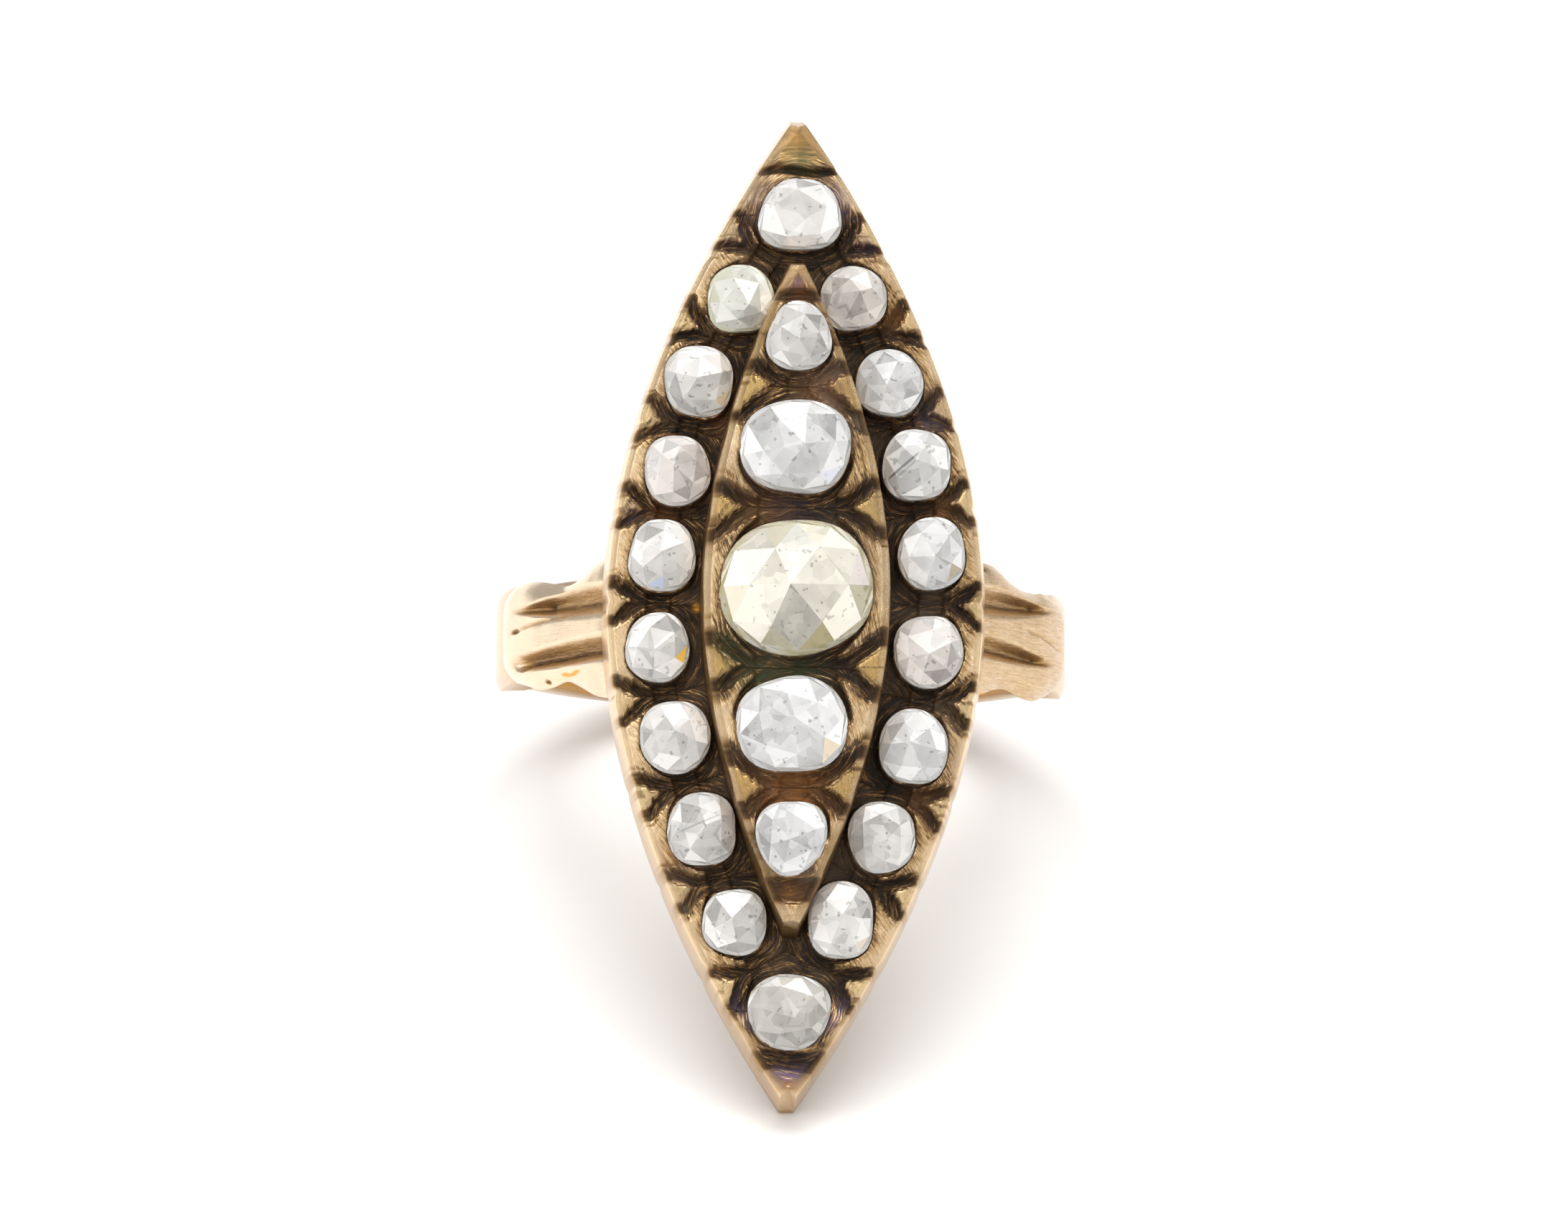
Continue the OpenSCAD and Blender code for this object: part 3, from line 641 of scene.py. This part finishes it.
def smoothed(values, at):
    xs, ys = np.array(shoulder["angles"], float), np.array(values, float)
    slopes = np.gradient(ys, xs)
    i = np.clip(np.searchsorted(xs, at) - 1, 0, len(xs) - 2)
    h = xs[i + 1] - xs[i]
    u = (at - xs[i]) / h
    return (ys[i] * (1 + 2 * u) * (1 - u) ** 2 + slopes[i] * h * u * (1 - u) ** 2
            + ys[i + 1] * u * u * (3 - 2 * u) + slopes[i + 1] * h * u * u * (u - 1))


def shoulderPiece(name, side, own):
    angle = np.linspace(shoulder["angles"][0], shoulder["angles"][-1], shoulder["along"])[:, None]
    half, crest, middle = (smoothed(v, angle) for v in (own["half"], shoulder["crest"], own["middle"]))
    v = np.sin(np.linspace(-1, 1, shoulder["across"]) * math.pi / 2)
    y = middle + half * v
    a = np.radians(angle)
    out = crest * np.cos(a)
    dip, dirt = np.zeros(y.shape), np.full(y.shape, own["worn"])
    slow, quick = shoulder["fluteDeepens"]
    for tipY, headY, tip, tipHalf, headHalf, depth, blunt, stainAndShade in own["flutes"]:
        off = y - (tipY + (headY - tipY) * ease(tip, shoulder["fluteEnd"], angle))
        wide = tipHalf + (headHalf - tipHalf) * ease(tip, tip + shoulder["fluteWidens"], angle)
        cup = ((1 + np.cos(math.pi * np.clip(np.abs(off) / wide, 0, 1))) / 2) ** 0.8
        dip = dip + depth * ease(tip, tip + slow - quick * blunt, angle) * cup
        low = swell(off + 0.12, 0.09) * ease(tip + 1, tip + 8, angle)
        # tarnish in the flute, with painted shade in its hollow and a darker line low in it
        dirt = np.maximum(dirt, (stainAndShade * cup ** 0.7 + 0.3 * low) * ease(tip - 1, tip + 7, angle))
    for px, py, deep, length in own["punches"]:
        there = swell(out - px, shoulder["punch"] * length) * swell(y - py, shoulder["punch"])
        dip = dip + deep * there
        dirt = np.maximum(dirt, 0.8 * ease(0.25, 0.8, there))
    for (x0, y0), (x1, y1), bow in own["grooves"]:
        share = (out - x0) / (x1 - x0)
        line = y0 + (y1 - y0) * share + bow * np.sin(math.pi * np.clip(share, 0, 1))
        there = swell(y - line, shoulder["grooveWidth"]) * ease(-0.05, 0.2, share) * ease(1.1, 0.9, share)
        dip = dip + shoulder["grooveDepth"] * there
        dirt = np.maximum(dirt, 0.36 * there)
    # painted reflection of gold: an amber crescent, open at the top
    ax, ay, wide, high = own["amber"]
    ring = swell(np.hypot((out - ax) / wide, (y - ay) / high) - 0.8, 0.3)
    amber = ring * ease(0.1, -0.6, (y - ay) / high) * shoulder["amberGain"]
    r = crest - dip - shoulder["edgeDrop"] * np.abs(v) ** 5
    r = r + shoulder["ripple"] * ripple(angle * 0.3 + 7, y * 1.2 + 9)
    footHalf, footR = shoulder["foot"]
    grid = np.hstack([joined(side * footR * np.cos(a), -footHalf, footR * np.sin(a)),
                      joined(side * r * np.cos(a), y, r * np.sin(a)),
                      joined(side * footR * np.cos(a), footHalf, footR * np.sin(a))])
    count = grid.shape[1]
    pad = np.full(angle.shape, shoulder["footDirtAndShade"])
    dirt = np.clip(np.hstack([pad, dirt, pad]), 0, 1).ravel()
    amber = np.hstack([0 * pad, amber, 0 * pad]).ravel()
    wide = np.hstack([y[:, :1] - 0.9, y, y[:, -1:] + 0.9])
    marks = {"dirt": dirt, "flow": joined(a * 10, wide + 70, 5.0 + side).reshape(-1, 3),
             "tone": np.full(dirt.size, -1.0), "plain": 1 - 0.45 * dirt, "amber": amber}
    piece = meshPiece(name, grid.reshape(-1, 3), gridFaces(len(angle), count, flip=side > 0), marks)
    return closeEnds(piece, len(angle), count)


metal.append(hoopPiece())
metal.append(shoulderPiece("shoulder_left", -1, shoulder["left"]))
metal.append(shoulderPiece("shoulder_right", 1, shoulder["right"]))
print("hoop and shoulders made")

# A stone is a rose cut: star facets from its point to the corners, a side facet outside each, two at every
# corner that meet at the belt, and the small belt facets down to the girdle. Tones, painted reflections in
# the
# facets: darkest, and the spread; lift and sink add a painted glint and a painted dark reflection.
rose = {"dome": 0.2, "sunk": 0.04, "outline": 48, "depth": 0.44, "under": 0.03, "level": -0.02,
        "star": 0.66, "belt": 0.955, "beltHeight": 0.26, "beltStray": 0.3,
        "strayTurn": 0.09, "strayReach": 0.06, "strayHeight": 0.12,
        "tones": {"star": (0.26, 0.4), "round": (0.16, 0.55), "belt": (0.3, 0.4)},
        "lift": 0.85, "sink": 0.35, "starShare": 0.3, "spread": 21, "brightest": 1.3}
starFacet, sideFacet, cornerFacet, beltFacet, wallFacet = range(5)
# painted reflections of the star facets, given one by one
starTones = {"stone_centre_3": (0.62, 0.7, 0.42, 0.52, 0.22, 0.4)}
# facets with a painted coloured reflection: direction, the colour and how strongly it shows
olive = (0.37, 0.31, 0.12)
moss = (0.62, 0.64, 0.42)
sparks = {
    "stone_left_1": [(165, moss, 0.6), (120, moss, 0.4)],
    "stone_left_5": [(352, (0.90, 0.52, 0.06), 0.95)],
    "stone_left_2": [(335, (0.72, 0.52, 0.22), 0.5)],
    "stone_left_4": [(255, (0.55, 0.68, 0.98), 0.6)],
    "stone_right_8": [(310, (0.80, 0.62, 0.46), 0.6)],
    "stone_right_4": [(322, (0.45, 0.32, 0.14), 0.6)],
    "stone_centre_2": [(325, (0.80, 0.84, 1.0), 0.5)],
    "stone_centre_3": [(15, (0.98, 0.86, 0.84), 0.5), (300, olive, 0.8), (245, olive, 0.45),
                       (208, olive, 0.55), (112, olive, 0.6), (75, olive, 0.4), (350, olive, 0.4)],
    "stone_centre_4": [(335, (0.95, 0.74, 0.42), 0.6)],
}


def cutStone(s):
    facets, chance = s["facets"], s["chance"]
    top = rose["dome"] * max(s["w"], s["h"]) - rose["sunk"]
    step = 2 * math.pi / facets
    apex = np.array([s["x"], s["y"]]) + np.array([s["pointX"] * s["w"], s["pointY"] * s["h"]]) / 2
    bm = bmesh.new()

    def stray(share):
        return chance.uniform(-1, 1) * share

    def at(angle, reach, height):
        return np.array([s["x"] + reach * math.cos(angle), s["y"] + reach * math.sin(angle), height])

    def vert(point):
        return bm.verts.new(toWorld([point + np.array([0, 0, s["level"] + rose["level"]])])[0])

    starts = [math.radians(s["turn"]) + step * (k + stray(rose["strayTurn"])) for k in range(facets)]
    ends = starts[1:] + [starts[0] + 2 * math.pi]
    beltTop = rose["beltHeight"] * top
    corners, beltCorners, beltSides = [], [], []
    for angle, following in zip(starts, ends):
        place = at(angle, girdle(s, angle) * (rose["star"] + stray(rose["strayReach"])), 0.0)
        fall = np.linalg.norm(place[:2] - apex) * math.tan(math.radians(s["slope"]))
        place[2] = top - fall + chance.uniform(-1, 0) * rose["strayHeight"] * top
        corners.append(place)
        for group, turned in ((beltCorners, angle), (beltSides, (angle + following) / 2)):
            height = beltTop * (1 + chance.uniform(-rose["beltStray"], rose["beltStray"]))
            group.append(at(turned, girdle(s, turned) * rose["belt"], height))
    point = vert(np.array([*apex, top]))
    groups = (corners, beltCorners, beltSides)
    corners, beltCorners, beltSides = ([vert(q) for q in group] for group in groups)
    angles = starts[0] + np.linspace(0, 2 * math.pi, rose["outline"], endpoint=False)
    reach = girdle(s, angles) + rose["under"]
    upper = [vert(at(a, q, 0.0)) for a, q in zip(angles, reach)]
    lowest = [vert(at(a, q, -rose["depth"])) for a, q in zip(angles, reach)]
    kinds, ways = [], []
    centre = Vector(toWorld([[s["x"], s["y"], s["level"]]])[0])
    across, along = (Vector(v) for v in ringAxes[:2])

    def face(kind, *verts):
        off = bm.faces.new(verts).calc_center_median() - centre
        kinds.append(kind)
        ways.append(math.degrees(math.atan2(off.dot(along), off.dot(across))))

    beltLine = []
    for k, (angle, following) in enumerate(zip(starts, ends)):
        j = (k + 1) % facets
        face(starFacet, point, corners[k], corners[j])
        face(sideFacet, corners[k], beltSides[k], corners[j])
        face(cornerFacet, corners[k], beltCorners[k], beltSides[k])
        face(cornerFacet, beltSides[k], beltCorners[j], corners[j])
        beltLine += [(angle, beltCorners[k]), ((angle + following) / 2, beltSides[k])]
    beltLine.append((ends[-1], beltCorners[0]))
    done = 0    # belt corners that the girdle has been joined to
    for n in range(rose["outline"]):
        m = (n + 1) % rose["outline"]
        nextAngle = angles[n] + 2 * math.pi / rose["outline"]
        while done + 1 < len(beltLine) - 1 and beltLine[done + 1][0] < (angles[n] + nextAngle) / 2:
            face(beltFacet, beltLine[done][1], upper[n], beltLine[done + 1][1])
            done += 1
        face(beltFacet, beltLine[done][1], upper[n], upper[m])
        face(wallFacet, upper[n], lowest[n], lowest[m], upper[m])
    while done < len(beltLine) - 1:
        face(beltFacet, beltLine[done][1], upper[0], beltLine[done + 1][1])
        done += 1
    face(wallFacet, *lowest)
    bmesh.ops.recalc_face_normals(bm, faces=bm.faces)
    name = "cut_" + s["name"]
    mesh = bpy.data.meshes.new(name)
    bm.to_mesh(mesh)
    bm.free()

    kinds, ways = np.array(kinds), np.array(ways)
    shade = chance.random(len(kinds))

    def turnFrom(direction):
        return (ways - direction + 180) % 360 - 180

    def towards(directions):
        return sum((swell(turnFrom(d), rose["spread"]) * (kinds <= cornerFacet) for d in directions), 0)

    # painted reflections: each facet gets a tone, lifted to a painted glint near the glint directions and
    # sunk to a painted dark reflection near the dark ones
    starTone, roundTone, beltTone = (low + spread * shade for low, spread in rose["tones"].values())
    onStar, aboveBelt = kinds == starFacet, kinds <= cornerFacet
    tones = np.where(onStar, starTone, np.where(aboveBelt, roundTone, beltTone))
    if s["name"] in starTones:
        tones[onStar] = starTones[s["name"]]
    share = np.where(onStar, rose["starShare"], 1.0)
    tones = tones + share * (rose["lift"] * towards(s["brights"]) - rose["sink"] * towards(s["darks"]))
    spark = np.zeros((len(kinds), 4))
    for direction, colour, strength in sparks.get(s["name"], []):
        spark[np.argmin(np.abs(turnFrom(direction)) + 900 * (kinds != cornerFacet))] = (*colour, strength)
    spots = toRing([v.co for v in mesh.vertices]) - np.array([s["x"], s["y"], s["level"]])
    for key, kind, domain, field, values in (
            ("facet", "FLOAT", "FACE", "value", np.clip(tones, 0, rose["brightest"])),
            ("spark", "FLOAT_COLOR", "FACE", "color", spark),
            ("spot", "FLOAT_VECTOR", "POINT", "vector", spots),
            ("edge", "FLOAT", "FACE", "value", kinds > cornerFacet)):
        mesh.attributes.new(key, kind, domain).data.foreach_set(field, values.astype(np.float32).ravel())
    return addPiece(name, mesh)


cutStones = [cutStone(s) for s in stones]
print("stones cut")


class Wire:    # one output of a shader node, and the sums written on it
    def __init__(self, tree, socket=None):
        self.tree, self.socket = tree, socket

    def node(self, kind, settings=None, inputs=None, out=0):
        made = self.tree.nodes.new(kind)
        for key, value in (settings or {}).items():
            if key == "stops":
                ramp = made.color_ramp
                while len(ramp.elements) < len(value):
                    ramp.elements.new(0.5)
                for element, (place, colour) in zip(ramp.elements, value):
                    element.position, element.color = place, (*colour, 1)
            else:
                setattr(made, key, value)
        for key, value in (inputs or {}).items():
            if isinstance(value, Wire):
                self.tree.links.new(value.socket, made.inputs[key])
            else:
                made.inputs[key].default_value = value
        return Wire(self.tree, made.outputs[out] if made.outputs else None)

    def mark(self, name, out="Fac"):    # a value that the mesh carries
        return self.node("ShaderNodeAttribute", {"attribute_name": name}, out=out)

    def noise(self, place, scale, detail, roughness=0.5):
        inputs = {"Vector": place, "Scale": scale, "Detail": detail, "Roughness": roughness}
        return self.node("ShaderNodeTexNoise", None, inputs, out="Fac")

    def vector(self, how, a, b, out=0):
        return self.node("ShaderNodeVectorMath", {"operation": how}, {0: a, 1: b}, out=out)

    def calc(self, how, a, b=0.0, clamp=False):
        return self.node("ShaderNodeMath", {"operation": how, "use_clamp": clamp}, {0: a, 1: b})

    def __add__(self, other):
        return self.calc("ADD", self, other)

    def __sub__(self, other):
        return self.calc("SUBTRACT", self, other)

    def __rsub__(self, other):
        return self.calc("SUBTRACT", other, self)

    def __mul__(self, other):
        return self.calc("MULTIPLY", self, other)

    __radd__ = __add__
    __rmul__ = __mul__

    def held(self):    # kept between 0 and 1
        return self.calc("ADD", self, clamp=True)

    def mixed(self, a, b):    # from a to b as this value goes from 0 to 1
        a, b = ((*v, 1) if isinstance(v, tuple) else v for v in (a, b))
        return self.node("ShaderNodeMix", {"data_type": "RGBA"}, {0: self, 6: a, 7: b}, out=2)


def newMaterial(name):
    material = bpy.data.materials.new(name)
    material.use_nodes = True
    material.node_tree.nodes.clear()
    return material, Wire(material.node_tree)


def endMaterial(start, inputs):
    shader = start.node("ShaderNodeBsdfPrincipled", None, inputs, out="BSDF")
    start.node("ShaderNodeOutputMaterial", inputs={"Surface": shader})


gold = {
    "bright": (0.87, 0.645, 0.395), "bronze": (0.48, 0.295, 0.12), "brown": (0.16, 0.085, 0.034),
    "black": (0.028, 0.02, 0.013), "rose": (0.90, 0.73, 0.54), "triangle": (0.70, 0.51, 0.265),
    "innerTriangle": (0.53, 0.345, 0.13), "foil": (0.80, 0.80, 0.77), "green": (0.075, 0.095, 0.04),
    "violet": (0.14, 0.10, 0.18), "amber": (0.80, 0.36, 0.05), "rust": (0.30, 0.125, 0.035),
    "tarnish": (0.27, 0.19, 0.125),
    "faceStops": (0.0, 0.31, 0.55, 0.9), "roseStops": (0.0, 0.35, 0.7, 1.0),    # how worn for each
    "streak": (1.3, 13.0, 3.0), "fine": (4.0, 46.0, 2.0),    # strokes: along and across the flow, detail
    "streakShare": (2.1, 0.7, 0.26), "fineShare": (1.0, 0.9, 0.4),    # in dirt, at its edge, when clean
    "blotch": (1300.0, 4.0), "blotchShare": 0.4, "tarnishNoise": (430.0, 3.0), "tarnishShare": 0.5,
    "dirtAndShadingShare": 0.86, "plainShare": 0.86, "tintFrom": 0.85, "tintGain": 3.0,
    "rough": 0.3, "roughWorn": 0.34, "plainSmoother": 0.13, "dirtAndShadingLessMetal": 0.5, "bumpHeight": 0.00008,
}


def goldMaterial():
    material, start = newMaterial("roseGold")
    flow = start.mark("flow", "Vector")
    dirt, shine, tone, foil, plain = (start.mark(name) for name in ("dirt", "shine", "tone", "foil", "plain"))
    place = start.node("ShaderNodeNewGeometry", out="Position")
    streak, fine = (start.noise(start.vector("MULTIPLY", flow, (along, across, 1.0)), 1.0, detail, 0.6)
                    for along, across, detail in (gold["streak"], gold["fine"]))
    brushed = 1.0 - plain * gold["plainShare"]
    between = dirt * (1.0 - dirt) * 4.0
    strokes = 0.0
    for noise, (inDirt, atEdge, clean) in ((streak, gold["streakShare"]), (fine, gold["fineShare"])):
        strokes = (noise - 0.5) * (dirt * inDirt + between * atEdge + clean) + strokes
    blotch = (start.noise(place, *gold["blotch"]) - 0.5) * gold["blotchShare"]
    # wear: dirt and strokes, with the painted shade and painted light that the dirt values carry
    wearAndShading = (dirt * gold["dirtAndShadingShare"] + (strokes + blotch) * brushed).held()
    # these darker colours serve dirt, wear and painted shade alike
    worn = (gold["bronze"], gold["brown"], gold["black"])
    ramps = ((gold["bright"], gold["faceStops"]), (gold["rose"], gold["roseStops"]))
    face, rosy = (start.node("ShaderNodeValToRGB", {"stops": list(zip(stops, (clean, *worn)))}, {0: wearAndShading})
                  for clean, stops in ramps)
    colour = (tone * -1.0).held().mixed(face, rosy)            # the hoop and shoulders are rosier
    bright = (shine * (1.0 - wearAndShading)).held()
    colour = bright.mixed(colour, tone.held().mixed(gold["triangle"], gold["innerTriangle"]))
    for tint in goldTints:
        share = (start.mark(tint) * (streak * gold["tintGain"] - gold["tintFrom"])).held()
        colour = share.mixed(colour, gold[tint])
    tarnish = ((start.noise(place, *gold["tarnishNoise"]) - 0.5) * 4.0).held()
    colour = (tarnish * (1.0 - plain * 0.7) * gold["tarnishShare"]).mixed(colour, gold["tarnish"])
    colour = foil.mixed(colour, gold["foil"])
    rough = gold["rough"] - plain * gold["plainSmoother"] + wearAndShading * gold["roughWorn"]
    rough = rough + (fine - 0.5) * brushed * 0.3
    grain = (streak * 0.6 + fine * 0.4) * (1.0 - bright * 0.85) * brushed
    bumps = {"Height": grain, "Strength": 1.0, "Distance": gold["bumpHeight"]}
    bump = start.node("ShaderNodeBump", None, bumps, out="Normal")
    endMaterial(start, {"Base Color": colour, "Metallic": (1.0 - wearAndShading * gold["dirtAndShadingLessMetal"]).held(),
                        "Roughness": rough.held(), "Normal": bump})
    return material


# Each colour of stone, and the colour of its edges where that isn't plain
stoneColours = {
    "white": (0.96, 0.93, 0.89), "greenish": (0.94, 0.93, 0.84), "grey": (0.90, 0.87, 0.83),
    "rosy": (0.93, 0.86, 0.80), "dull": (0.80, 0.76, 0.69), "blue": (0.94, 0.93, 0.915),
    "yellow": (0.975, 0.93, 0.80), "needle": (0.94, 0.93, 0.90), "cracked": (0.90, 0.87, 0.83),
    "brown": (0.80, 0.73, 0.66),
}
stoneEdges = {"plain": (0.62, 0.61, 0.58), "yellow": (0.44, 0.38, 0.16), "greenish": (0.60, 0.60, 0.42)}
# a line in a stone: direction in degrees, how far off the middle, where it starts and ends, width, strength
stoneLines = {
    "needle": [(41, 0.25, -1.12, 0.35, 0.04, 0.8), (41, 0.1, -0.9, 0.1, 0.025, 0.4)],
    "dull": [(5, 0.1, 0.1, 0.6, 0.016, 0.3), (75, -0.06, -0.55, 0.1, 0.016, 0.3),
             (3, -0.52, -0.2, 0.5, 0.016, 0.3), (80, -0.57, -0.4, 0.2, 0.016, 0.25)],
    "cracked": [(24, 0.2, -0.79, 0.79, 0.03, 0.4), (60, 0.5, -0.4, 0.4, 0.02, 0.2)],
    "brown": [(75, 0.55, -0.5, 0.25, 0.09, 0.35), (20, -0.15, -0.75, -0.25, 0.05, 0.4),
              (115, 0.35, -0.55, -0.05, 0.05, 0.4)],
}
inStone = {
    "speck": (4600.0, 1.0), "speckFrom": 0.665, "speckDark": 0.5, "innerReflection": 1700.0, "innerReflectionTone": 0.34,
    "cloud": (1400.0, 4.0), "cloudTone": 0.5, "facetTone": 0.85, "base": 0.06, "darkest": 0.36,
    "lineTone": 0.07,
    "roughness": 0.02, "ior": 1.7, "clear": 0.15,
}


def stoneMaterial(name, tint):
    material, start = newMaterial("rose" + name.capitalize())
    facet = start.mark("facet")
    place = start.node("ShaderNodeNewGeometry", out="Position")
    flaw = ((start.noise(place, *inStone["speck"]) - inStone["speckFrom"]) * 18.0).held()
    # painted inner reflections: cells of lighter and darker tone inside each stone
    shifted = start.vector("ADD", place, facet * 0.013)        # so that the shards break at the facets
    cells = {"Vector": shifted, "Scale": inStone["innerReflection"]}
    innerReflection = start.node("ShaderNodeTexVoronoi", None, cells, out="Color")
    innerReflection = start.node("ShaderNodeSeparateColor", None, {0: innerReflection}, out=0)
    cloud = start.noise(place, *inStone["cloud"])
    # light: painted facet reflections and painted inner reflections, with the stone's clouds and flaws
    light = facet * inStone["facetTone"] + (innerReflection - 0.5) * inStone["innerReflectionTone"]
    light = light + (cloud - 0.5) * inStone["cloudTone"] - flaw * inStone["speckDark"]
    light = (light + inStone["base"]).held()
    colour = light.mixed(tuple(c * inStone["darkest"] for c in tint), tint)
    if name in stoneLines:
        spot = start.mark("spot", "Vector")
        drawn = 0.0
        for direction, off, begin, end, width, strength in stoneLines[name]:
            c, d = math.cos(math.radians(direction)), math.sin(math.radians(direction))
            ways = ((c, d, 0), (-d, c, 0))
            run, away = (start.vector("DOT_PRODUCT", spot, way, out="Value") for way in ways)
            beside = start.calc("ABSOLUTE", away - off)
            ends = ((run - begin) * 6.0).held() * ((end - run) * 6.0).held()
            line = (1.5 - beside * (1.0 / width)).held() * ends
            drawn = line * strength + drawn
        colour = drawn.held().mixed(colour, tuple(c * inStone["lineTone"] for c in tint))
    # painted coloured reflections in single facets
    colour = start.mark("spark", "Alpha").mixed(colour, start.mark("spark", "Color"))
    edge = start.mark("edge") * ((cloud - 0.3) * 2.2).held()
    colour = edge.mixed(colour, stoneEdges.get(name, stoneEdges["plain"]))
    endMaterial(start, {"Base Color": colour, "Roughness": inStone["roughness"], "IOR": inStone["ior"],
                        "Transmission Weight": inStone["clear"]})
    return material


goldCoat = goldMaterial()
for piece in metal:
    piece.data.materials.append(goldCoat)
    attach(piece, "root")
    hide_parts("ring_body")
stoneCoats = {name: stoneMaterial(name, tint) for name, tint in stoneColours.items()}
for s, piece in zip(stones, cutStones):
    piece.data.materials.append(stoneCoats[s["colour"]])
    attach(piece, "root")
    "warm_stone" if s["name"] == "stone_centre_3" else "stone"
    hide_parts(s["name"])
print("finishes laid")

# Floor, light and camera
studio = {
    "floor": 0.6, "floorBehind": 1.8, "floorTone": 0.93, "floorRough": 0.7, "world": 0.5,
    "lamps": {    # place from the face in metres, size, power
        "front": ((-0.10, -0.34, 0.36), 0.30, 0.26),
        "high": ((0.0, 0.04, 0.50), 0.42, 2.3),
        "right": ((0.34, -0.12, 0.18), 0.14, 0.2),
        "left": ((-0.34, -0.14, 0.20), 0.18, 0.4),
        "back": ((-0.20, 0.30, 0.34), 0.34, 0.25)},
}
floorMesh = bpy.data.meshes.new("floor")
reach, behind = studio["floor"], studio["floorBehind"]
floorMesh.from_pydata([(-reach, -reach, 0), (reach, -reach, 0), (reach, behind, 0), (-reach, behind, 0)],
                      [], [(0, 1, 2, 3)])
floor = addPiece("floor", floorMesh)
floorMaterial, start = newMaterial("paleFloor")
endMaterial(start, {"Base Color": (studio["floorTone"],) * 3 + (1,), "Roughness": studio["floorRough"]})
floorMesh.materials.append(floorMaterial)

world = bpy.data.worlds.new("studio")
world.use_nodes = True
background = world.node_tree.nodes["Background"]
background.inputs["Color"].default_value = (1, 1, 1, 1)
background.inputs["Strength"].default_value = studio["world"]
bpy.context.scene.world = world
bpy.context.scene.view_settings.view_transform = "Standard"

target = Vector(toWorld([[0, 0, head["face"]]])[0])
for name, (offset, size, power) in studio["lamps"].items():
    lamp = bpy.data.lights.new(name, "AREA")
    lamp.shape, lamp.size, lamp.energy = "SQUARE", size, power
    holder = addPiece(name, lamp)
    holder.location = target + Vector(offset)
    holder.rotation_mode = "QUATERNION"
    holder.rotation_quaternion = (target - holder.location).to_track_quat("-Z", "Y")

# The photograph's view of the face: how far the camera stands below and left of it, and how it is turned
view = {"below": 7.0, "left": 2.0, "roll": 0.6, "distance": 332.0, "focal": 13695.0, "image": (2184, 1687),
        "aim": (0.0, 0.0, 9.4), "aimPixel": (1101.5, 856.5), "sensor": 36.0, "clip": (0.01, 10.0)}
below, left, roll = (math.radians(view[k]) for k in ("below", "left", "roll"))
back = np.array([-math.sin(left) * math.cos(below), -math.sin(below), math.cos(left) * math.cos(below)])
up = np.array([0, 1.0, 0]) - back * back[1]
up /= np.linalg.norm(up)
right = np.cross(up, back)
right, up = math.cos(roll) * right + math.sin(roll) * up, math.cos(roll) * up - math.sin(roll) * right
offX = (view["aimPixel"][0] - view["image"][0] / 2) / view["focal"]
offY = (view["image"][1] / 2 - view["aimPixel"][1]) / view["focal"]
eye = np.array(view["aim"]) - (right * offX + up * offY - back) * view["distance"]
cameraData = bpy.data.cameras.new("camera")
cameraData.sensor_width = view["sensor"]
cameraData.lens = view["focal"] / view["image"][0] * view["sensor"]
cameraData.clip_start, cameraData.clip_end = view["clip"]
camera = addPiece("camera", cameraData)
axes = [ringAxes.T @ v for v in (right, up, back)]
turn = Matrix([[axes[c][r] for c in range(3)] for r in range(3)])
camera.matrix_world = Matrix.Translation(Vector(toWorld([eye])[0])) @ turn.to_4x4()
bpy.context.scene.camera = camera
print("studio set")
